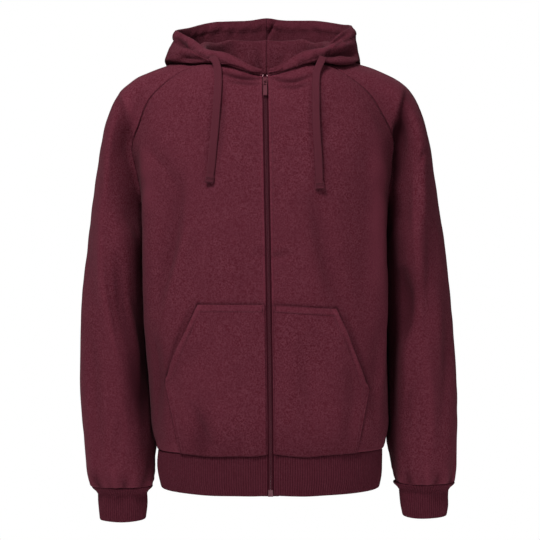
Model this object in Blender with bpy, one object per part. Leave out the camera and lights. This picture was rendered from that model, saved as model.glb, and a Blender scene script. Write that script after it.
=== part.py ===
"""Zip-up hooded sweatshirt in its worn, filled-out shape with nobody inside.

Made as the real one is sewn: two fronts and a back from a torso form, two raglan sleeves that run to
the neck seam, a two-piece hood lying open behind the neck, two patch pockets, a ribbed hem band, two
ribbed cuffs, a coil zip with slider and pull tab, and two flat draw cords.
+X is the wearer's left (right in a front view), the front faces -Y and +Z is up. The origin lies
between the shoulders at the height of the neck base.
"""

import math

import bmesh
import bpy
import numpy as np
from mathutils import Vector
from mathutils.bvhtree import BVHTree

MM = 0.001

# cloth and seams, millimetres
CLOTH = 2.2
RIB_CLOTH = 2.2
CASING_EXTRA = 2.0
CASING_WIDTH = 21.0
SEAM_GAP = 0.3
HOOD_CLEAR = 3.0
SLEEVE_CLEAR = 3.5
UNDERARM_WEDGE = 9.0

# levels, millimetres above the neck base
HEM_SEAM = -640.0
HEM_EDGE = -702.0
UNDERARM = -245.0
SIDE_DEPTH = 8.0
CUFF_HEIGHT = 57.0

# columns and rows of the coarse cloth grid
FRONT_COLUMNS = 11
BACK_COLUMNS = 9
SLEEVE_COLUMNS = 24
BODY_ROWS = 12
YOKE_ROWS = 9
HOOD_COLUMNS = 19
HOOD_ROWS = 16
HEM_RIBS = 104
CUFF_RIBS = 24
RIB_DEPTH = 0.8

# zip, millimetres
ZIP_HALF = 5.3
TAPE_INNER = 2.5
TAPE_BEND = 4.2
TAPE_OUTER = 13.0
TAPE_THICK = 0.9
TAPE_BEHIND = 0.8
CHAIN_HALF = 2.2
CHAIN_THICK = 2.4
CHAIN_PROUD = 0.2
SLIDER_WIDTH = 8.0
SLIDER_LENGTH = 13.0
PLATE_THICK = 1.2
POST_HALF = 1.7
BRIDGE_WIDTH = 2.2
BRIDGE_LENGTH = 7.5
BRIDGE_HEIGHT = 3.4
BAR_RADIUS = 0.7
TAB_WIDTH = 6.4
TAB_LENGTH = 19.0
TAB_THICK = 1.5
LINK_LENGTH = 9.5

# draw cords, millimetres
CORD_WIDTH = 12.0
CORD_THICK = 3.2
CORD_SIDES = 12


def table(names, *rows):
    """A table of numbers with a name for each column."""
    values = np.array(rows, dtype=float)
    return {name: values[:, place] for place, name in enumerate(names.split())}


# Torso: half widths to each side, depths of the front and back middle, roundness of the corners
TORSO = table(
    "height left right front back square",
    (-640, 181, 194, 126, 112, 2.5),
    (-622, 186, 199, 131, 115, 2.5),
    (-556, 189, 201, 133, 114, 2.5),
    (-472, 196, 201, 135, 114, 2.5),
    (-372, 199, 200, 137, 117, 2.5),
    (-306, 201, 199, 138, 122, 2.5),
    (-245, 205, 202, 137, 126, 2.5),
)

# Ribbed hem: the band draws in below its seam
HEM = table(
    "height left right front back square",
    (-702, 176, 189, 122, 108, 2.5),
    (-680, 181, 193, 125, 111, 2.5),
    (-640, 181, 194, 126, 112, 2.5),
)

# The line of the zip, which leans a little
ZIP_LINE = table(
    "height across",
    (-702, 7),
    (-640, 7),
    (-380, 4),
    (-200, 1),
    (-25, -2),
)

# Front raglan seam from underarm (0) to neck (1), each side, and how far the chest has turned at it
FRONT_SEAM = table(
    "up left right depth height turn",
    (0.00, -205, 202, 8, -245, 90),
    (0.23, -219, 209, -22, -175, 84),
    (0.42, -223, 210, -45, -115, 76),
    (0.54, -207, 192, -62, -86, 68),
    (0.63, -190, 168, -70, -60, 62),
    (0.75, -163, 143, -72, -31, 60),
    (0.86, -131, 114, -66, -10, 60),
    (1.00, -88, 84, -53, 4, 62),
)

# Back raglan seam
BACK_SEAM = table(
    "up across depth height turn",
    (0.00, 205, 8, -245, 90),
    (0.23, 214, 52, -185, 84),
    (0.42, 196, 82, -130, 74),
    (0.54, 172, 96, -88, 66),
    (0.63, 152, 98, -64, 62),
    (0.75, 126, 95, -38, 58),
    (0.86, 100, 86, -14, 58),
    (1.00, 70, 62, 8, 60),
)

# Middle of the front and of the back above the underarm
MIDDLE = table(
    "up front_depth front_height back_depth back_height",
    (0.00, -137, -245, 126, -245),
    (0.23, -136, -200, 128, -200),
    (0.42, -131, -155, 127, -150),
    (0.54, -127, -125, 123, -115),
    (0.63, -122, -98, 118, -84),
    (0.75, -116, -70, 108, -52),
    (0.86, -109, -46, 95, -24),
    (1.00, -100, -25, 78, -2),
)

# Outer line of shoulder and upper arm, with the most forward and most rearward depth of the sleeve
SHOULDER = table(
    "up left left_height right right_height fore aft",
    (0.00, -299, -258, 295, -258, -76, 104),
    (0.23, -284, -170, 281, -170, -73, 96),
    (0.42, -268, -98, 266, -98, -72, 84),
    (0.54, -252, -49, 249, -48, -69, 78),
    (0.63, -230, -26, 229, -27, -64, 72),
    (0.75, -190, -6, 190, -7, -54, 64),
    (0.86, -150, 8, 150, 9, -44, 54),
    (1.00, -100, 18, 98, 18, -32, 36),
)

# Sleeves below the underarm: outer and inner line, most forward and rearward depth
SLEEVE_LEFT = table(
    "height outer inner fore aft",
    (-702, -286, -201, -25, 45),
    (-688, -298, -187, -44, 74),
    (-660, -302, -184, -48, 86),
    (-625, -306, -182, -49, 94),
    (-556, -312, -182, -52, 102),
    (-473, -312, -184, -57, 108),
    (-389, -310, -186, -63, 112),
    (-305, -303, -192, -69, 114),
    (-258, -299, -204, -73, 112),
)
SLEEVE_RIGHT = table(
    "height outer inner fore aft",
    (-696, 306, 222, -25, 45),
    (-682, 314, 210, -44, 74),
    (-655, 318, 206, -48, 84),
    (-625, 321, 202, -49, 90),
    (-556, 322, 188, -52, 102),
    (-473, 318, 184, -57, 108),
    (-389, 312, 184, -63, 112),
    (-305, 302, 188, -69, 114),
    (-258, 295, 201, -73, 112),
)

# Cuffs: outer and inner line at the top and bottom edge
CUFF = table(
    "side top_outer top_inner low_outer low_inner fore aft top",
    (-1, -284, -202, -280, -204, -21, 41, -702),
    (1, 307, 224, 303, 230, -21, 41, -696),
)

# Soft folds: a line in the front view, trough (-) or ridge (+), which face and which side pieces
FOLDS = table(
    "x_top z_top x_low z_low width push face sleeve",
    (-238, -60, -262, -300, 16, -5.0, -1, 1),
    (-278, -150, -290, -420, 15, -4.0, -1, 1),
    (-252, -330, -262, -640, 16, -5.0, -1, 1),
    (-224, -420, -222, -660, 14, 4.0, -1, 1),
    (-288, -470, -276, -670, 13, -4.5, -1, 1),
    (-236, -60, -258, -330, 17, -5.0, 1, 1),
    (-286, -260, -262, -560, 16, -4.5, 1, 1),
    (-226, -380, -240, -650, 14, -4.0, 1, 1),
    (236, -62, 252, -300, 16, -5.0, -1, 1),
    (276, -140, 292, -400, 15, -4.0, -1, 1),
    (250, -350, 270, -640, 16, -5.0, -1, 1),
    (232, -440, 236, -650, 13, 4.0, -1, 1),
    (300, -430, 290, -660, 13, -4.5, -1, 1),
    (234, -60, 254, -320, 17, -5.0, 1, 1),
    (288, -280, 268, -560, 16, -4.5, 1, 1),
    (226, -400, 246, -650, 14, -4.0, 1, 1),
    (-196, -120, -150, -250, 18, -3.0, -1, 0),
    (184, -130, 146, -260, 18, -3.0, -1, 0),
    (-160, -470, -120, -620, 20, -4.0, -1, 0),
    (168, -500, 128, -620, 18, -3.5, -1, 0),
    (-60, -420, -40, -610, 22, -3.0, -1, 0),
    (70, -440, 56, -610, 22, -3.0, -1, 0),
    (-150, -110, -70, -330, 24, -5.0, 1, 0),
    (150, -120, 64, -340, 24, -5.0, 1, 0),
    (-120, -430, -50, -610, 24, -4.5, 1, 0),
    (110, -400, 60, -600, 24, -4.5, 1, 0),
    (0, -260, 6, -560, 30, -4.0, 1, 0),
)

# Hood: place along the half neck seam (0 front, 1 back), bearing of the section in plan, then
# how far out from the seam and how far up each line of the section runs
HOOD_LEFT = table(
    "place bearing crest_out crest_up inner_out inner_up low_out low_up outer_out outer_up rim_out rim_up",
    (0.00, 12, 2, 1, 3, 2, 4, 3, 4, 5, 3, 7),
    (0.17, 16, 4, 1, 7, 0, 10, 3, 9, 8, 4, 12),
    (0.34, 30, 9, 0, 20, -6, 31, -6, 30, 5, 18, 15),
    (0.46, 58, 5, 12, 24, -4, 48, -17, 54, -8, 28, 28),
    (0.58, 86, 4, 28, 28, 4, 66, -16, 70, -6, 54, 47),
    (0.72, 122, 5, 42, 30, 2, 62, -54, 75, -22, 76, 72),
    (0.86, 152, 7, 56, 34, -20, 60, -108, 90, -46, 80, 97),
    (1.00, 180, 8, 67, 36, -30, 62, -140, 92, -60, 72, 112),
)
HOOD_RIGHT = table(
    "place bearing crest_out crest_up inner_out inner_up low_out low_up outer_out outer_up rim_out rim_up",
    (0.00, 12, 2, 1, 3, 2, 4, 3, 4, 5, 3, 7),
    (0.17, 16, 4, 1, 7, 0, 10, 3, 9, 9, 4, 14),
    (0.34, 32, 9, 0, 20, -6, 31, -5, 31, 8, 20, 20),
    (0.46, 58, 5, 12, 24, -4, 48, -16, 55, -2, 32, 38),
    (0.58, 86, 4, 28, 28, 4, 61, -15, 63, -2, 48, 55),
    (0.72, 122, 5, 42, 30, 2, 60, -54, 70, -18, 72, 78),
    (0.86, 152, 7, 56, 34, -20, 60, -108, 90, -46, 80, 98),
    (1.00, 180, 8, 67, 36, -30, 62, -140, 92, -60, 72, 112),
)

# Pockets in the front view, from the zip edge round by the slanted mouth to the hem
POCKET_LEFT = table("x z", (0, -394), (-108, -394), (-159, -510), (-163, -521), (-138, -634))
POCKET_RIGHT = table("x z", (0, -394), (111, -401), (160, -521), (166, -532), (146, -631))

# Draw cords: run in the front view and how far the cord's middle stands off the cloth under it
CORD_LEFT = table(
    "x z off width",
    (-88, 5, 5.0, 12),
    (-83, -1, 7.0, 12),
    (-78.5, -14, 7.0, 12),
    (-77, -32, 5.0, 12),
    (-78, -60, 3.6, 12),
    (-81, -105, 3.4, 12),
    (-85, -150, 3.4, 12),
    (-89, -188, 3.4, 12.5),
    (-91, -201, 3.6, 15),
)
CORD_RIGHT = table(
    "x z off width",
    (92, 6, 5.0, 12),
    (88, -3, 7.0, 12),
    (82, -18, 7.0, 12),
    (80, -36, 5.0, 12),
    (79.5, -62, 3.6, 12),
    (80, -110, 3.4, 12),
    (83, -160, 3.4, 12),
    (84.5, -200, 3.4, 12.5),
    (85, -211, 3.8, 15),
)


def curve(keys, values, places):
    """A smooth curve through a table's values, read at the given places."""
    keys = np.asarray(keys, dtype=float)
    values = np.asarray(values, dtype=float)
    places = np.asarray(places, dtype=float)
    slopes = np.gradient(values, keys, axis=0)
    left = np.clip(np.searchsorted(keys, places, side="right") - 1, 0, len(keys) - 2)
    span = keys[left + 1] - keys[left]
    part = (places - keys[left]) / span
    if values.ndim > 1:
        span = span[..., None]
        part = part[..., None]
    start = 2 * part**3 - 3 * part**2 + 1
    start_slope = part**3 - 2 * part**2 + part
    end = 3 * part**2 - 2 * part**3
    end_slope = part**3 - part**2
    return (
        start * values[left]
        + start_slope * span * slopes[left]
        + end * values[left + 1]
        + end_slope * span * slopes[left + 1]
    )


def read(rows, column, key, place):
    """One column of a table, read smoothly at a place of its key column."""
    low = rows[key].min()
    high = rows[key].max()
    return float(curve(rows[key], rows[column], np.clip(place, low, high)))


def lengths(points):
    """Distance along a run of points."""
    steps = np.linalg.norm(np.diff(points, axis=0), axis=1)
    return np.concatenate([[0.0], np.cumsum(steps)])


def evenly(points, count):
    """The same run with count equal steps."""
    along = lengths(points)
    places = np.linspace(0, along[-1], count + 1)
    return np.stack([np.interp(places, along, points[:, axis]) for axis in range(3)], axis=1)


def smooth_run(points, count=80):
    """A smooth run through a few points."""
    points = np.asarray(points, dtype=float)
    along = lengths(points)
    return curve(along, points, np.linspace(0, along[-1], count + 1))


def quarter(middle, side, square, turn):
    """A quarter of the torso outline, flat across the middle and rounded into the side."""
    angle = np.linspace(0, math.radians(turn), 61)
    power = 2 / square
    across = np.sin(angle) ** power
    depth = 1 - np.clip(np.cos(angle), 0, 1) ** power
    across = across / across[-1]
    depth = depth / depth[-1]
    rise = across * across * (3 - 2 * across)
    share = np.stack([across, depth, rise], axis=1)
    return middle + (side - middle) * share


def zip_x(height):
    return read(ZIP_LINE, "across", "height", height)


def side_name(side):
    return "left" if side < 0 else "right"


def torso_half(rows, side, height, back):
    """Half an outline at one height, from the middle of the front or back to the side."""
    edge = side * read(rows, side_name(side), "height", height)
    square = read(rows, "square", "height", height)
    end = np.array([edge, SIDE_DEPTH, height])
    if back:
        start = np.array([0.0, read(rows, "back", "height", height), height])
    else:
        depth = -read(rows, "front", "height", height)
        start = np.array([zip_x(height) + side * ZIP_HALF, depth, height])
    return quarter(start, end, square, 90)


def yoke_half(side, up, back):
    """Half an outline above the underarm, from the middle to the raglan seam."""
    square = 2.0 + 0.5 * (1 - up)
    if back:
        across = side * read(BACK_SEAM, "across", "up", up)
        depth = read(BACK_SEAM, "depth", "up", up)
        height = read(BACK_SEAM, "height", "up", up)
        middle_depth = read(MIDDLE, "back_depth", "up", up)
        middle_height = read(MIDDLE, "back_height", "up", up)
        start = np.array([0.0, middle_depth, middle_height])
        turn = read(BACK_SEAM, "turn", "up", up)
    else:
        across = read(FRONT_SEAM, side_name(side), "up", up)
        depth = read(FRONT_SEAM, "depth", "up", up)
        height = read(FRONT_SEAM, "height", "up", up)
        middle_depth = read(MIDDLE, "front_depth", "up", up)
        middle_height = read(MIDDLE, "front_height", "up", up)
        start = np.array([zip_x(middle_height) + side * ZIP_HALF, middle_depth, middle_height])
        turn = read(FRONT_SEAM, "turn", "up", up)
    return quarter(start, np.array([across, depth, height]), square, turn)


def shoulder_row(side, up):
    """A row of the sleeve above the underarm, from the front seam over the shoulder to the back seam."""
    name = side_name(side)
    front = np.array([read(FRONT_SEAM, key, "up", up) for key in (name, "depth", "height")])
    back = np.array([read(BACK_SEAM, key, "up", up) for key in ("across", "depth", "height")])
    back[0] = side * back[0]
    crest = np.array([
        read(SHOULDER, name, "up", up),
        0.5 * (read(SHOULDER, "fore", "up", up) + read(SHOULDER, "aft", "up", up)),
        read(SHOULDER, name + "_height", "up", up),
    ])
    share = 0.62 - 0.12 * up
    fore = front + (crest - front) * share
    fore[1] = read(SHOULDER, "fore", "up", up)
    aft = back + (crest - back) * share
    aft[1] = read(SHOULDER, "aft", "up", up)
    return evenly(smooth_run([front, fore, crest, aft, back]), SLEEVE_COLUMNS)


def sleeve_ring(side, height):
    """A ring of the sleeve below the underarm, starting on the side next to the body."""
    rows = SLEEVE_LEFT if side < 0 else SLEEVE_RIGHT
    outer = read(rows, "outer", "height", height)
    inner = read(rows, "inner", "height", height)
    fore = read(rows, "fore", "height", height)
    aft = read(rows, "aft", "height", height)
    angle = np.linspace(0, 2 * math.pi, SLEEVE_COLUMNS + 1)
    power = 2 / 2.25
    across = np.sign(np.cos(angle)) * np.abs(np.cos(angle)) ** power
    depth = np.sign(np.sin(angle)) * np.abs(np.sin(angle)) ** power
    ring = np.stack([
        0.5 * (outer + inner) + 0.5 * (inner - outer) * across,
        0.5 * (fore + aft) - 0.5 * (aft - fore) * depth,
        np.full_like(angle, height),
    ], axis=1)
    return evenly(ring, SLEEVE_COLUMNS)


class Cloth:
    """One sheet of joined quads; each quad carries the name of the piece it is cut for."""

    def __init__(self):
        self.points = []
        self.quads = []
        self.names = []
        self.sharpness = []

    def add(self, point):
        self.points.append(np.array(point, dtype=float))
        return len(self.points) - 1

    def add_grid(self, index, name, flip):
        """Quads of a grid of point numbers."""
        for lower, upper in zip(index[:-1], index[1:]):
            for place in range(len(lower) - 1):
                quad = (lower[place], lower[place + 1], upper[place + 1], upper[place])
                if flip:
                    quad = (quad[0], quad[3], quad[2], quad[1])
                self.quads.append(quad)
                self.names.append(name)

    def normals(self):
        """Outward direction at every point, halfway between body and sleeve where they are joined."""
        points = np.array(self.points)
        body = np.zeros_like(points)
        sleeve = np.zeros_like(points)
        for quad, name in zip(self.quads, self.names):
            corner = points[list(quad)]
            facing = np.cross(corner[2] - corner[0], corner[3] - corner[1])
            total = sleeve if name.startswith("sleeve") else body
            for number in quad:
                total[number] += facing
        body /= np.maximum(np.linalg.norm(body, axis=1, keepdims=True), 1e-9)
        sleeve /= np.maximum(np.linalg.norm(sleeve, axis=1, keepdims=True), 1e-9)
        total = body + sleeve
        size = np.linalg.norm(total, axis=1, keepdims=True)
        joined = (np.abs(body).sum(axis=1) > 0) & (np.abs(sleeve).sum(axis=1) > 0)
        self.sharpness = np.where(joined, 2 / np.maximum(size[:, 0], 0.5), 1.0)
        return total / np.maximum(size, 1e-9)

    def neighbours(self):
        near = [set() for _ in self.points]
        for quad in self.quads:
            for place in range(4):
                near[quad[place]].add(quad[place - 1])
                near[quad[place - 1]].add(quad[place])
        return near

    def edge_points(self):
        """Points on the open edges of the sheet."""
        count = {}
        for quad in self.quads:
            for place in range(4):
                edge = frozenset((quad[place], quad[place - 1]))
                count[edge] = count.get(edge, 0) + 1
        return {number for edge, used in count.items() if used == 1 for number in edge}

    def relax(self, passes):
        """Evens out the sheet without drawing it in; its open edges stay."""
        near = [list(group) for group in self.neighbours()]
        fixed = self.edge_points()
        points = np.array(self.points)
        free = [number for number in range(len(points)) if number not in fixed]
        for _ in range(passes):
            for strength in (0.5, -0.52):
                middle = np.array([points[near[number]].mean(axis=0) for number in free])
                moved = points.copy()
                moved[free] += strength * (middle - points[free])
                points = moved
        self.points = list(points)

    def cut(self, name, thick):
        """The wall of one piece: outer and inner points and quads, pulled back from its seams."""
        points = np.array(self.points)
        facing = self.normals()
        mine = [place for place, piece in enumerate(self.names) if piece == name]
        used = {}
        for place in mine:
            for number in self.quads[place]:
                used.setdefault(number, len(used))
        everywhere = {}
        for quad in self.quads:
            for place in range(4):
                edge = frozenset((quad[place], quad[place - 1]))
                everywhere[edge] = everywhere.get(edge, 0) + 1
        border = {}
        for place in mine:
            quad = self.quads[place]
            for corner in range(4):
                first = quad[corner]
                second = quad[(corner + 1) % 4]
                edge = frozenset((first, second))
                if edge in border:
                    border[edge] = None
                else:
                    border[edge] = (first, second, place)
        border = {edge: value for edge, value in border.items() if value is not None}
        pull = {}
        for edge, (first, second, place) in border.items():
            if everywhere[edge] == 1:
                continue
            middle = 0.5 * (points[first] + points[second])
            line = points[second] - points[first]
            line = line / np.linalg.norm(line)
            inward = points[list(self.quads[place])].mean(axis=0) - middle
            inward = inward - line * inward.dot(line)
            inward = inward / np.linalg.norm(inward)
            for number in (first, second):
                pull.setdefault(number, []).append(inward)
        order = sorted(used, key=used.get)
        outer = points[order].copy()
        for number, ways in pull.items():
            if len(ways) == 1:
                shift = ways[0]
            else:
                shift = (ways[0] + ways[1]) / max(1 + ways[0].dot(ways[1]), 0.4)
            outer[used[number]] += 0.5 * SEAM_GAP * self.sharpness[number] * shift
        depth = np.array([thick[number] for number in order])[:, None]
        inner = outer - facing[order] * depth
        total = len(order)
        faces = []
        for place in mine:
            first, second, third, fourth = [used[number] for number in self.quads[place]]
            faces += [(first, second, third), (first, third, fourth)]
        faces += [tuple(total + number for number in face[::-1]) for face in faces]
        for first, second, _ in border.values():
            one = used[first]
            two = used[second]
            faces.append((two, one, total + one, total + two))
        return np.concatenate([outer, inner]), faces


def fold_push(cloth, rows, scale=1.0):
    """Moves the cloth in and out along its soft folds."""
    points = np.array(cloth.points)
    facing = cloth.normals()
    on_sleeve = np.zeros(len(points), dtype=bool)
    on_body = np.zeros(len(points), dtype=bool)
    for quad, name in zip(cloth.quads, cloth.names):
        target = on_sleeve if name.startswith("sleeve") else on_body
        target[list(quad)] = True
    on_sleeve &= ~on_body
    for place in range(len(rows["push"])):
        top = np.array([rows["x_top"][place], rows["z_top"][place]])
        low = np.array([rows["x_low"][place], rows["z_low"][place]])
        line = low - top
        flat = points[:, [0, 2]] - top
        along = flat @ line / line.dot(line)
        near = np.linalg.norm(flat - np.outer(np.clip(along, 0, 1), line), axis=1)
        fade = np.clip(1 - np.abs(2 * along - 1), 0, 1)
        strength = np.sin(0.5 * math.pi * np.sqrt(fade)) * np.exp(-((near / rows["width"][place]) ** 2))
        strength *= np.clip(facing[:, 1] * rows["face"][place] * 2.0, 0, 1)
        strength *= on_sleeve if rows["sleeve"][place] else on_body & ~on_sleeve
        points += facing * (strength * rows["push"][place] * scale)[:, None]
    cloth.points = list(points)


def build_shell():
    """The whole outer cloth of torso and sleeves as one sheet, with the point numbers of its edges."""
    cloth = Cloth()
    levels = np.linspace(0, 1, BODY_ROWS + 1)
    levels = HEM_SEAM + (UNDERARM - HEM_SEAM) * (0.35 * levels**2 + 0.65 * levels)
    ups = np.linspace(0, 1, YOKE_ROWS + 1)
    edges = {"hem": {}, "neck": {}, "front": {}, "grids": {}}
    back_middle = []
    for height in levels:
        back_middle.append(cloth.add([0.0, read(TORSO, "back", "height", height), height]))
    for up in ups[1:]:
        middle_depth = read(MIDDLE, "back_depth", "up", up)
        back_middle.append(cloth.add([0.0, middle_depth, read(MIDDLE, "back_height", "up", up)]))
    for side in (-1, 1):
        name = side_name(side)
        front_rows = []
        back_rows = []
        for place, height in enumerate(levels):
            run = evenly(torso_half(TORSO, side, height, False), FRONT_COLUMNS)
            front = [cloth.add(point) for point in run]
            run = evenly(torso_half(TORSO, side, height, True), BACK_COLUMNS)
            back = [back_middle[place]] + [cloth.add(point) for point in run[1:-1]] + [front[-1]]
            front_rows.append(front)
            back_rows.append(back[::-1])
        under = front_rows[-1][-1]
        sleeve_rows = [[under] * (SLEEVE_COLUMNS + 1)]
        run = shoulder_row(side, 0.0)
        sleeve_rows[0] = [under] + [cloth.add(point) for point in run[1:-1]] + [under]
        for place, up in enumerate(ups[1:], start=BODY_ROWS + 1):
            run = evenly(yoke_half(side, up, False), FRONT_COLUMNS)
            front = [cloth.add(point) for point in run]
            run = evenly(yoke_half(side, up, True), BACK_COLUMNS)
            back = [back_middle[place]] + [cloth.add(point) for point in run[1:]]
            front_rows.append(front)
            back_rows.append(back[::-1])
            run = shoulder_row(side, up)
            sleeve_rows.append([front[-1]] + [cloth.add(point) for point in run[1:-1]] + [back[-1]])
        rows = SLEEVE_LEFT if side < 0 else SLEEVE_RIGHT
        top = rows["height"].max()
        low = rows["height"].min()
        drops = (0.055, 0.13, 0.21, 0.29, 0.37, 0.45, 0.53, 0.61, 0.69, 0.77, 0.84, 0.90, 0.94, 0.972, 1.0)
        arm_rows = []
        for drop in drops:
            ring = sleeve_ring(side, top + (low - top) * drop)
            numbers = [cloth.add(point) for point in ring[:-1]]
            arm_rows.append(numbers + [numbers[0]])
        sleeve_rows = arm_rows[::-1] + sleeve_rows
        cloth.add_grid(front_rows, "front_" + name, side < 0)
        cloth.add_grid(back_rows, "back", side < 0)
        cloth.add_grid(sleeve_rows, "sleeve_" + name, side < 0)
        edges["front"][side] = [row[0] for row in front_rows]
        edges["neck"][side] = front_rows[-1] + sleeve_rows[-1][1:] + back_rows[-1][1:]
        edges["grids"][side] = front_rows
    cloth.relax(6)
    gather_cuffs(cloth)
    fold_push(cloth, FOLDS)
    part_arms(cloth)
    return cloth, edges


def gather_cuffs(cloth):
    """Small gathers that fade out above each cuff."""
    points = np.array(cloth.points)
    facing = cloth.normals()
    on_sleeve = {number for quad, name in zip(cloth.quads, cloth.names)
                 if name.startswith("sleeve") for number in quad}
    for number in on_sleeve:
        x, y, z = points[number]
        rows = SLEEVE_LEFT if x < 0 else SLEEVE_RIGHT
        above = z - rows["height"].min()
        if above > 75 or above < 2:
            continue
        centre = 0.5 * (read(rows, "outer", "height", z) + read(rows, "inner", "height", z))
        angle = math.atan2(y - 12, x - centre)
        fade = math.sin(math.pi * min(above / 34, 1) * 0.5) * (1 - above / 75)
        wave = math.cos(8 * angle + 0.8) + 0.35 * math.cos(5 * angle)
        points[number] += facing[number] * 2.6 * fade * wave
    cloth.points = list(points)


def part_arms(cloth):
    """Keeps each sleeve just clear of the side of the body."""
    points = np.array(cloth.points)
    owner = {}
    for quad, name in zip(cloth.quads, cloth.names):
        for number in quad:
            owner.setdefault(number, set()).add(name)
    for number, names in owner.items():
        if len(names) > 1 or not next(iter(names)).startswith("sleeve"):
            continue
        x, y, z = points[number]
        if z > UNDERARM - 6:
            continue
        rows = TORSO if z > HEM_SEAM else HEM
        side = -1 if x < 0 else 1
        edge = read(rows, side_name(side), "height", z)
        deep = read(rows, "front" if y < SIDE_DEPTH else "back", "height", z)
        reach = min(abs(y - SIDE_DEPTH) / (deep + SIDE_DEPTH), 1.0)
        wedge = UNDERARM_WEDGE * math.exp(-(((z - UNDERARM + 32) / 34) ** 2) - ((y - SIDE_DEPTH) / 34) ** 2)
        limit = edge * (1 - reach**2.5) ** 0.4 + CLOTH + SLEEVE_CLEAR + wedge
        if abs(x) < limit:
            points[number][0] = side * limit
    cloth.points = list(points)


def loop_points(points, count, start=0.0):
    """Points spread evenly along an open run."""
    along = lengths(points)
    places = np.linspace(start, along[-1], count + 1)
    return np.stack([np.interp(places, along, points[:, axis]) for axis in range(3)], axis=1)


def build_hood(neck):
    """Both hood pieces as one sheet, from the neck seam over the folds to the rim."""
    cloth = Cloth()
    grids = {}
    centre = None
    for side in (-1, 1):
        rows = HOOD_LEFT if side < 0 else HOOD_RIGHT
        seam = loop_points(neck[side], HOOD_COLUMNS)
        columns = []
        for place in range(HOOD_COLUMNS + 1):
            part = place / HOOD_COLUMNS
            base = seam[place] + np.array([0, 0, 0.4])
            bearing = math.radians(read(rows, "bearing", "place", part))
            out = np.array([side * math.sin(bearing), -math.cos(bearing), 0])
            line = [base]
            for name in ("crest", "inner", "low", "outer", "rim"):
                away = read(rows, name + "_out", "place", part)
                rise = read(rows, name + "_up", "place", part)
                line.append(base + out * away + np.array([0, 0, rise]))
            run = smooth_run(line, 120)
            along = lengths(run)
            casing = min(CASING_WIDTH, 0.5 * along[-1])
            body = along[-1] - casing
            steps = np.concatenate([
                np.linspace(0, body, HOOD_ROWS - 1),
                [body + 0.5 * casing, along[-1]],
            ])
            column = np.stack([np.interp(steps, along, run[:, axis]) for axis in range(3)], axis=1)
            if place == HOOD_COLUMNS:
                column[:, 0] = 0.0
                if centre is None:
                    centre = [cloth.add(point) for point in column]
                columns.append(centre)
            else:
                columns.append([cloth.add(point) for point in column])
        grids[side] = [list(row) for row in zip(*columns)]
        cloth.add_grid(grids[side], "hood_" + side_name(side), side < 0)
    return cloth, grids


def keep_off(cloth, tree, gap, fixed):
    """Moves a sheet off a surface wherever a point, or the middle of an edge, comes nearer than gap."""
    points = np.array(cloth.points)
    spans = {frozenset((quad[place], quad[place - 2 + lean])) for quad in cloth.quads
             for place in range(4) for lean in (0, 1)}
    spans = [tuple(span) for span in spans] + [(number, number) for number in range(len(points))]
    for _ in range(3):
        push = {}
        for one, two in spans:
            middle = Vector(0.5 * (points[one] + points[two]))
            spot, facing, _, distance = tree.find_nearest(middle)
            away = (middle - spot).dot(facing)
            if away >= gap or distance > 30:
                continue
            need = np.array(facing) * (gap - away)
            for number in (one, two):
                if number not in push or np.linalg.norm(push[number]) < np.linalg.norm(need):
                    push[number] = need
        for number, need in push.items():
            if number not in fixed:
                points[number] += need
    cloth.points = list(points)


def sheet_tree(cloth):
    return BVHTree.FromPolygons([tuple(point) for point in cloth.points], cloth.quads)


def material(name, colour, rough, metal=0.0):
    made = bpy.data.materials.new(name)
    made.use_nodes = True
    shader = made.node_tree.nodes["Principled BSDF"]
    shader.inputs["Base Color"].default_value = (*colour, 1.0)
    shader.inputs["Roughness"].default_value = rough
    shader.inputs["Metallic"].default_value = metal
    return made


def place_piece(name, points, faces, look, smooth=True, origin=(0, 0, 0)):
    """A named object from points in millimetres."""
    origin = np.array(origin, dtype=float)
    mesh = bpy.data.meshes.new(name)
    shifted = (np.asarray(points, dtype=float) - origin) * MM
    mesh.from_pydata([tuple(point) for point in shifted], [], [tuple(face) for face in faces])
    shape = bmesh.new()
    shape.from_mesh(mesh)
    bmesh.ops.recalc_face_normals(shape, faces=shape.faces)
    bmesh.ops.triangulate(shape, faces=[face for face in shape.faces if len(face.verts) > 4])
    shape.to_mesh(mesh)
    shape.free()
    mesh.materials.append(look)
    for face in mesh.polygons:
        face.use_smooth = smooth
    made = bpy.data.objects.new(name, mesh)
    made.location = tuple(origin * MM)
    bpy.context.scene.collection.objects.link(made)
    return made


def band(outer, inner, closed):
    """A ribbed band: rows of outer points over rows of fewer inner points, capped at its edges."""
    points = []
    faces = []

    def put(rows):
        index = []
        for row in rows:
            index.append(list(range(len(points), len(points) + len(row))))
            points.extend(row)
        return index

    outside = put(outer)
    inside = put(inner)
    for rows, flip in ((outside, False), (inside, True)):
        for low, high in zip(rows[:-1], rows[1:]):
            count = len(low) if closed else len(low) - 1
            for place in range(count):
                after = (place + 1) % len(low)
                quad = (low[place], low[after], high[after], high[place])
                faces.append(quad[::-1] if flip else quad)
    for level in (0, -1):
        many = outside[level]
        few = inside[level]
        faces += cap_strip(many, few, closed, level == -1)
    if not closed:
        for place in (0, -1):
            ring = [row[place] for row in outside] + [row[place] for row in inside][::-1]
            faces.append(tuple(ring if place == 0 else ring[::-1]))
    return np.array(points), faces


def cap_strip(many, few, closed, flip):
    """Triangles between a row of many points and a row of few, side by side."""
    faces = []
    total = len(many) if closed else len(many) - 1
    parts = len(few) if closed else len(few) - 1
    near = 0
    for place in range(total):
        target = int(round((place + 1) / total * parts))
        while near < target and near < parts:
            faces.append((many[place], few[near % len(few)], few[(near + 1) % len(few)]))
            near += 1
        faces.append((many[place], few[near % len(few)], many[(place + 1) % len(many)]))
    return [face[::-1] for face in faces] if flip else faces


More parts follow.
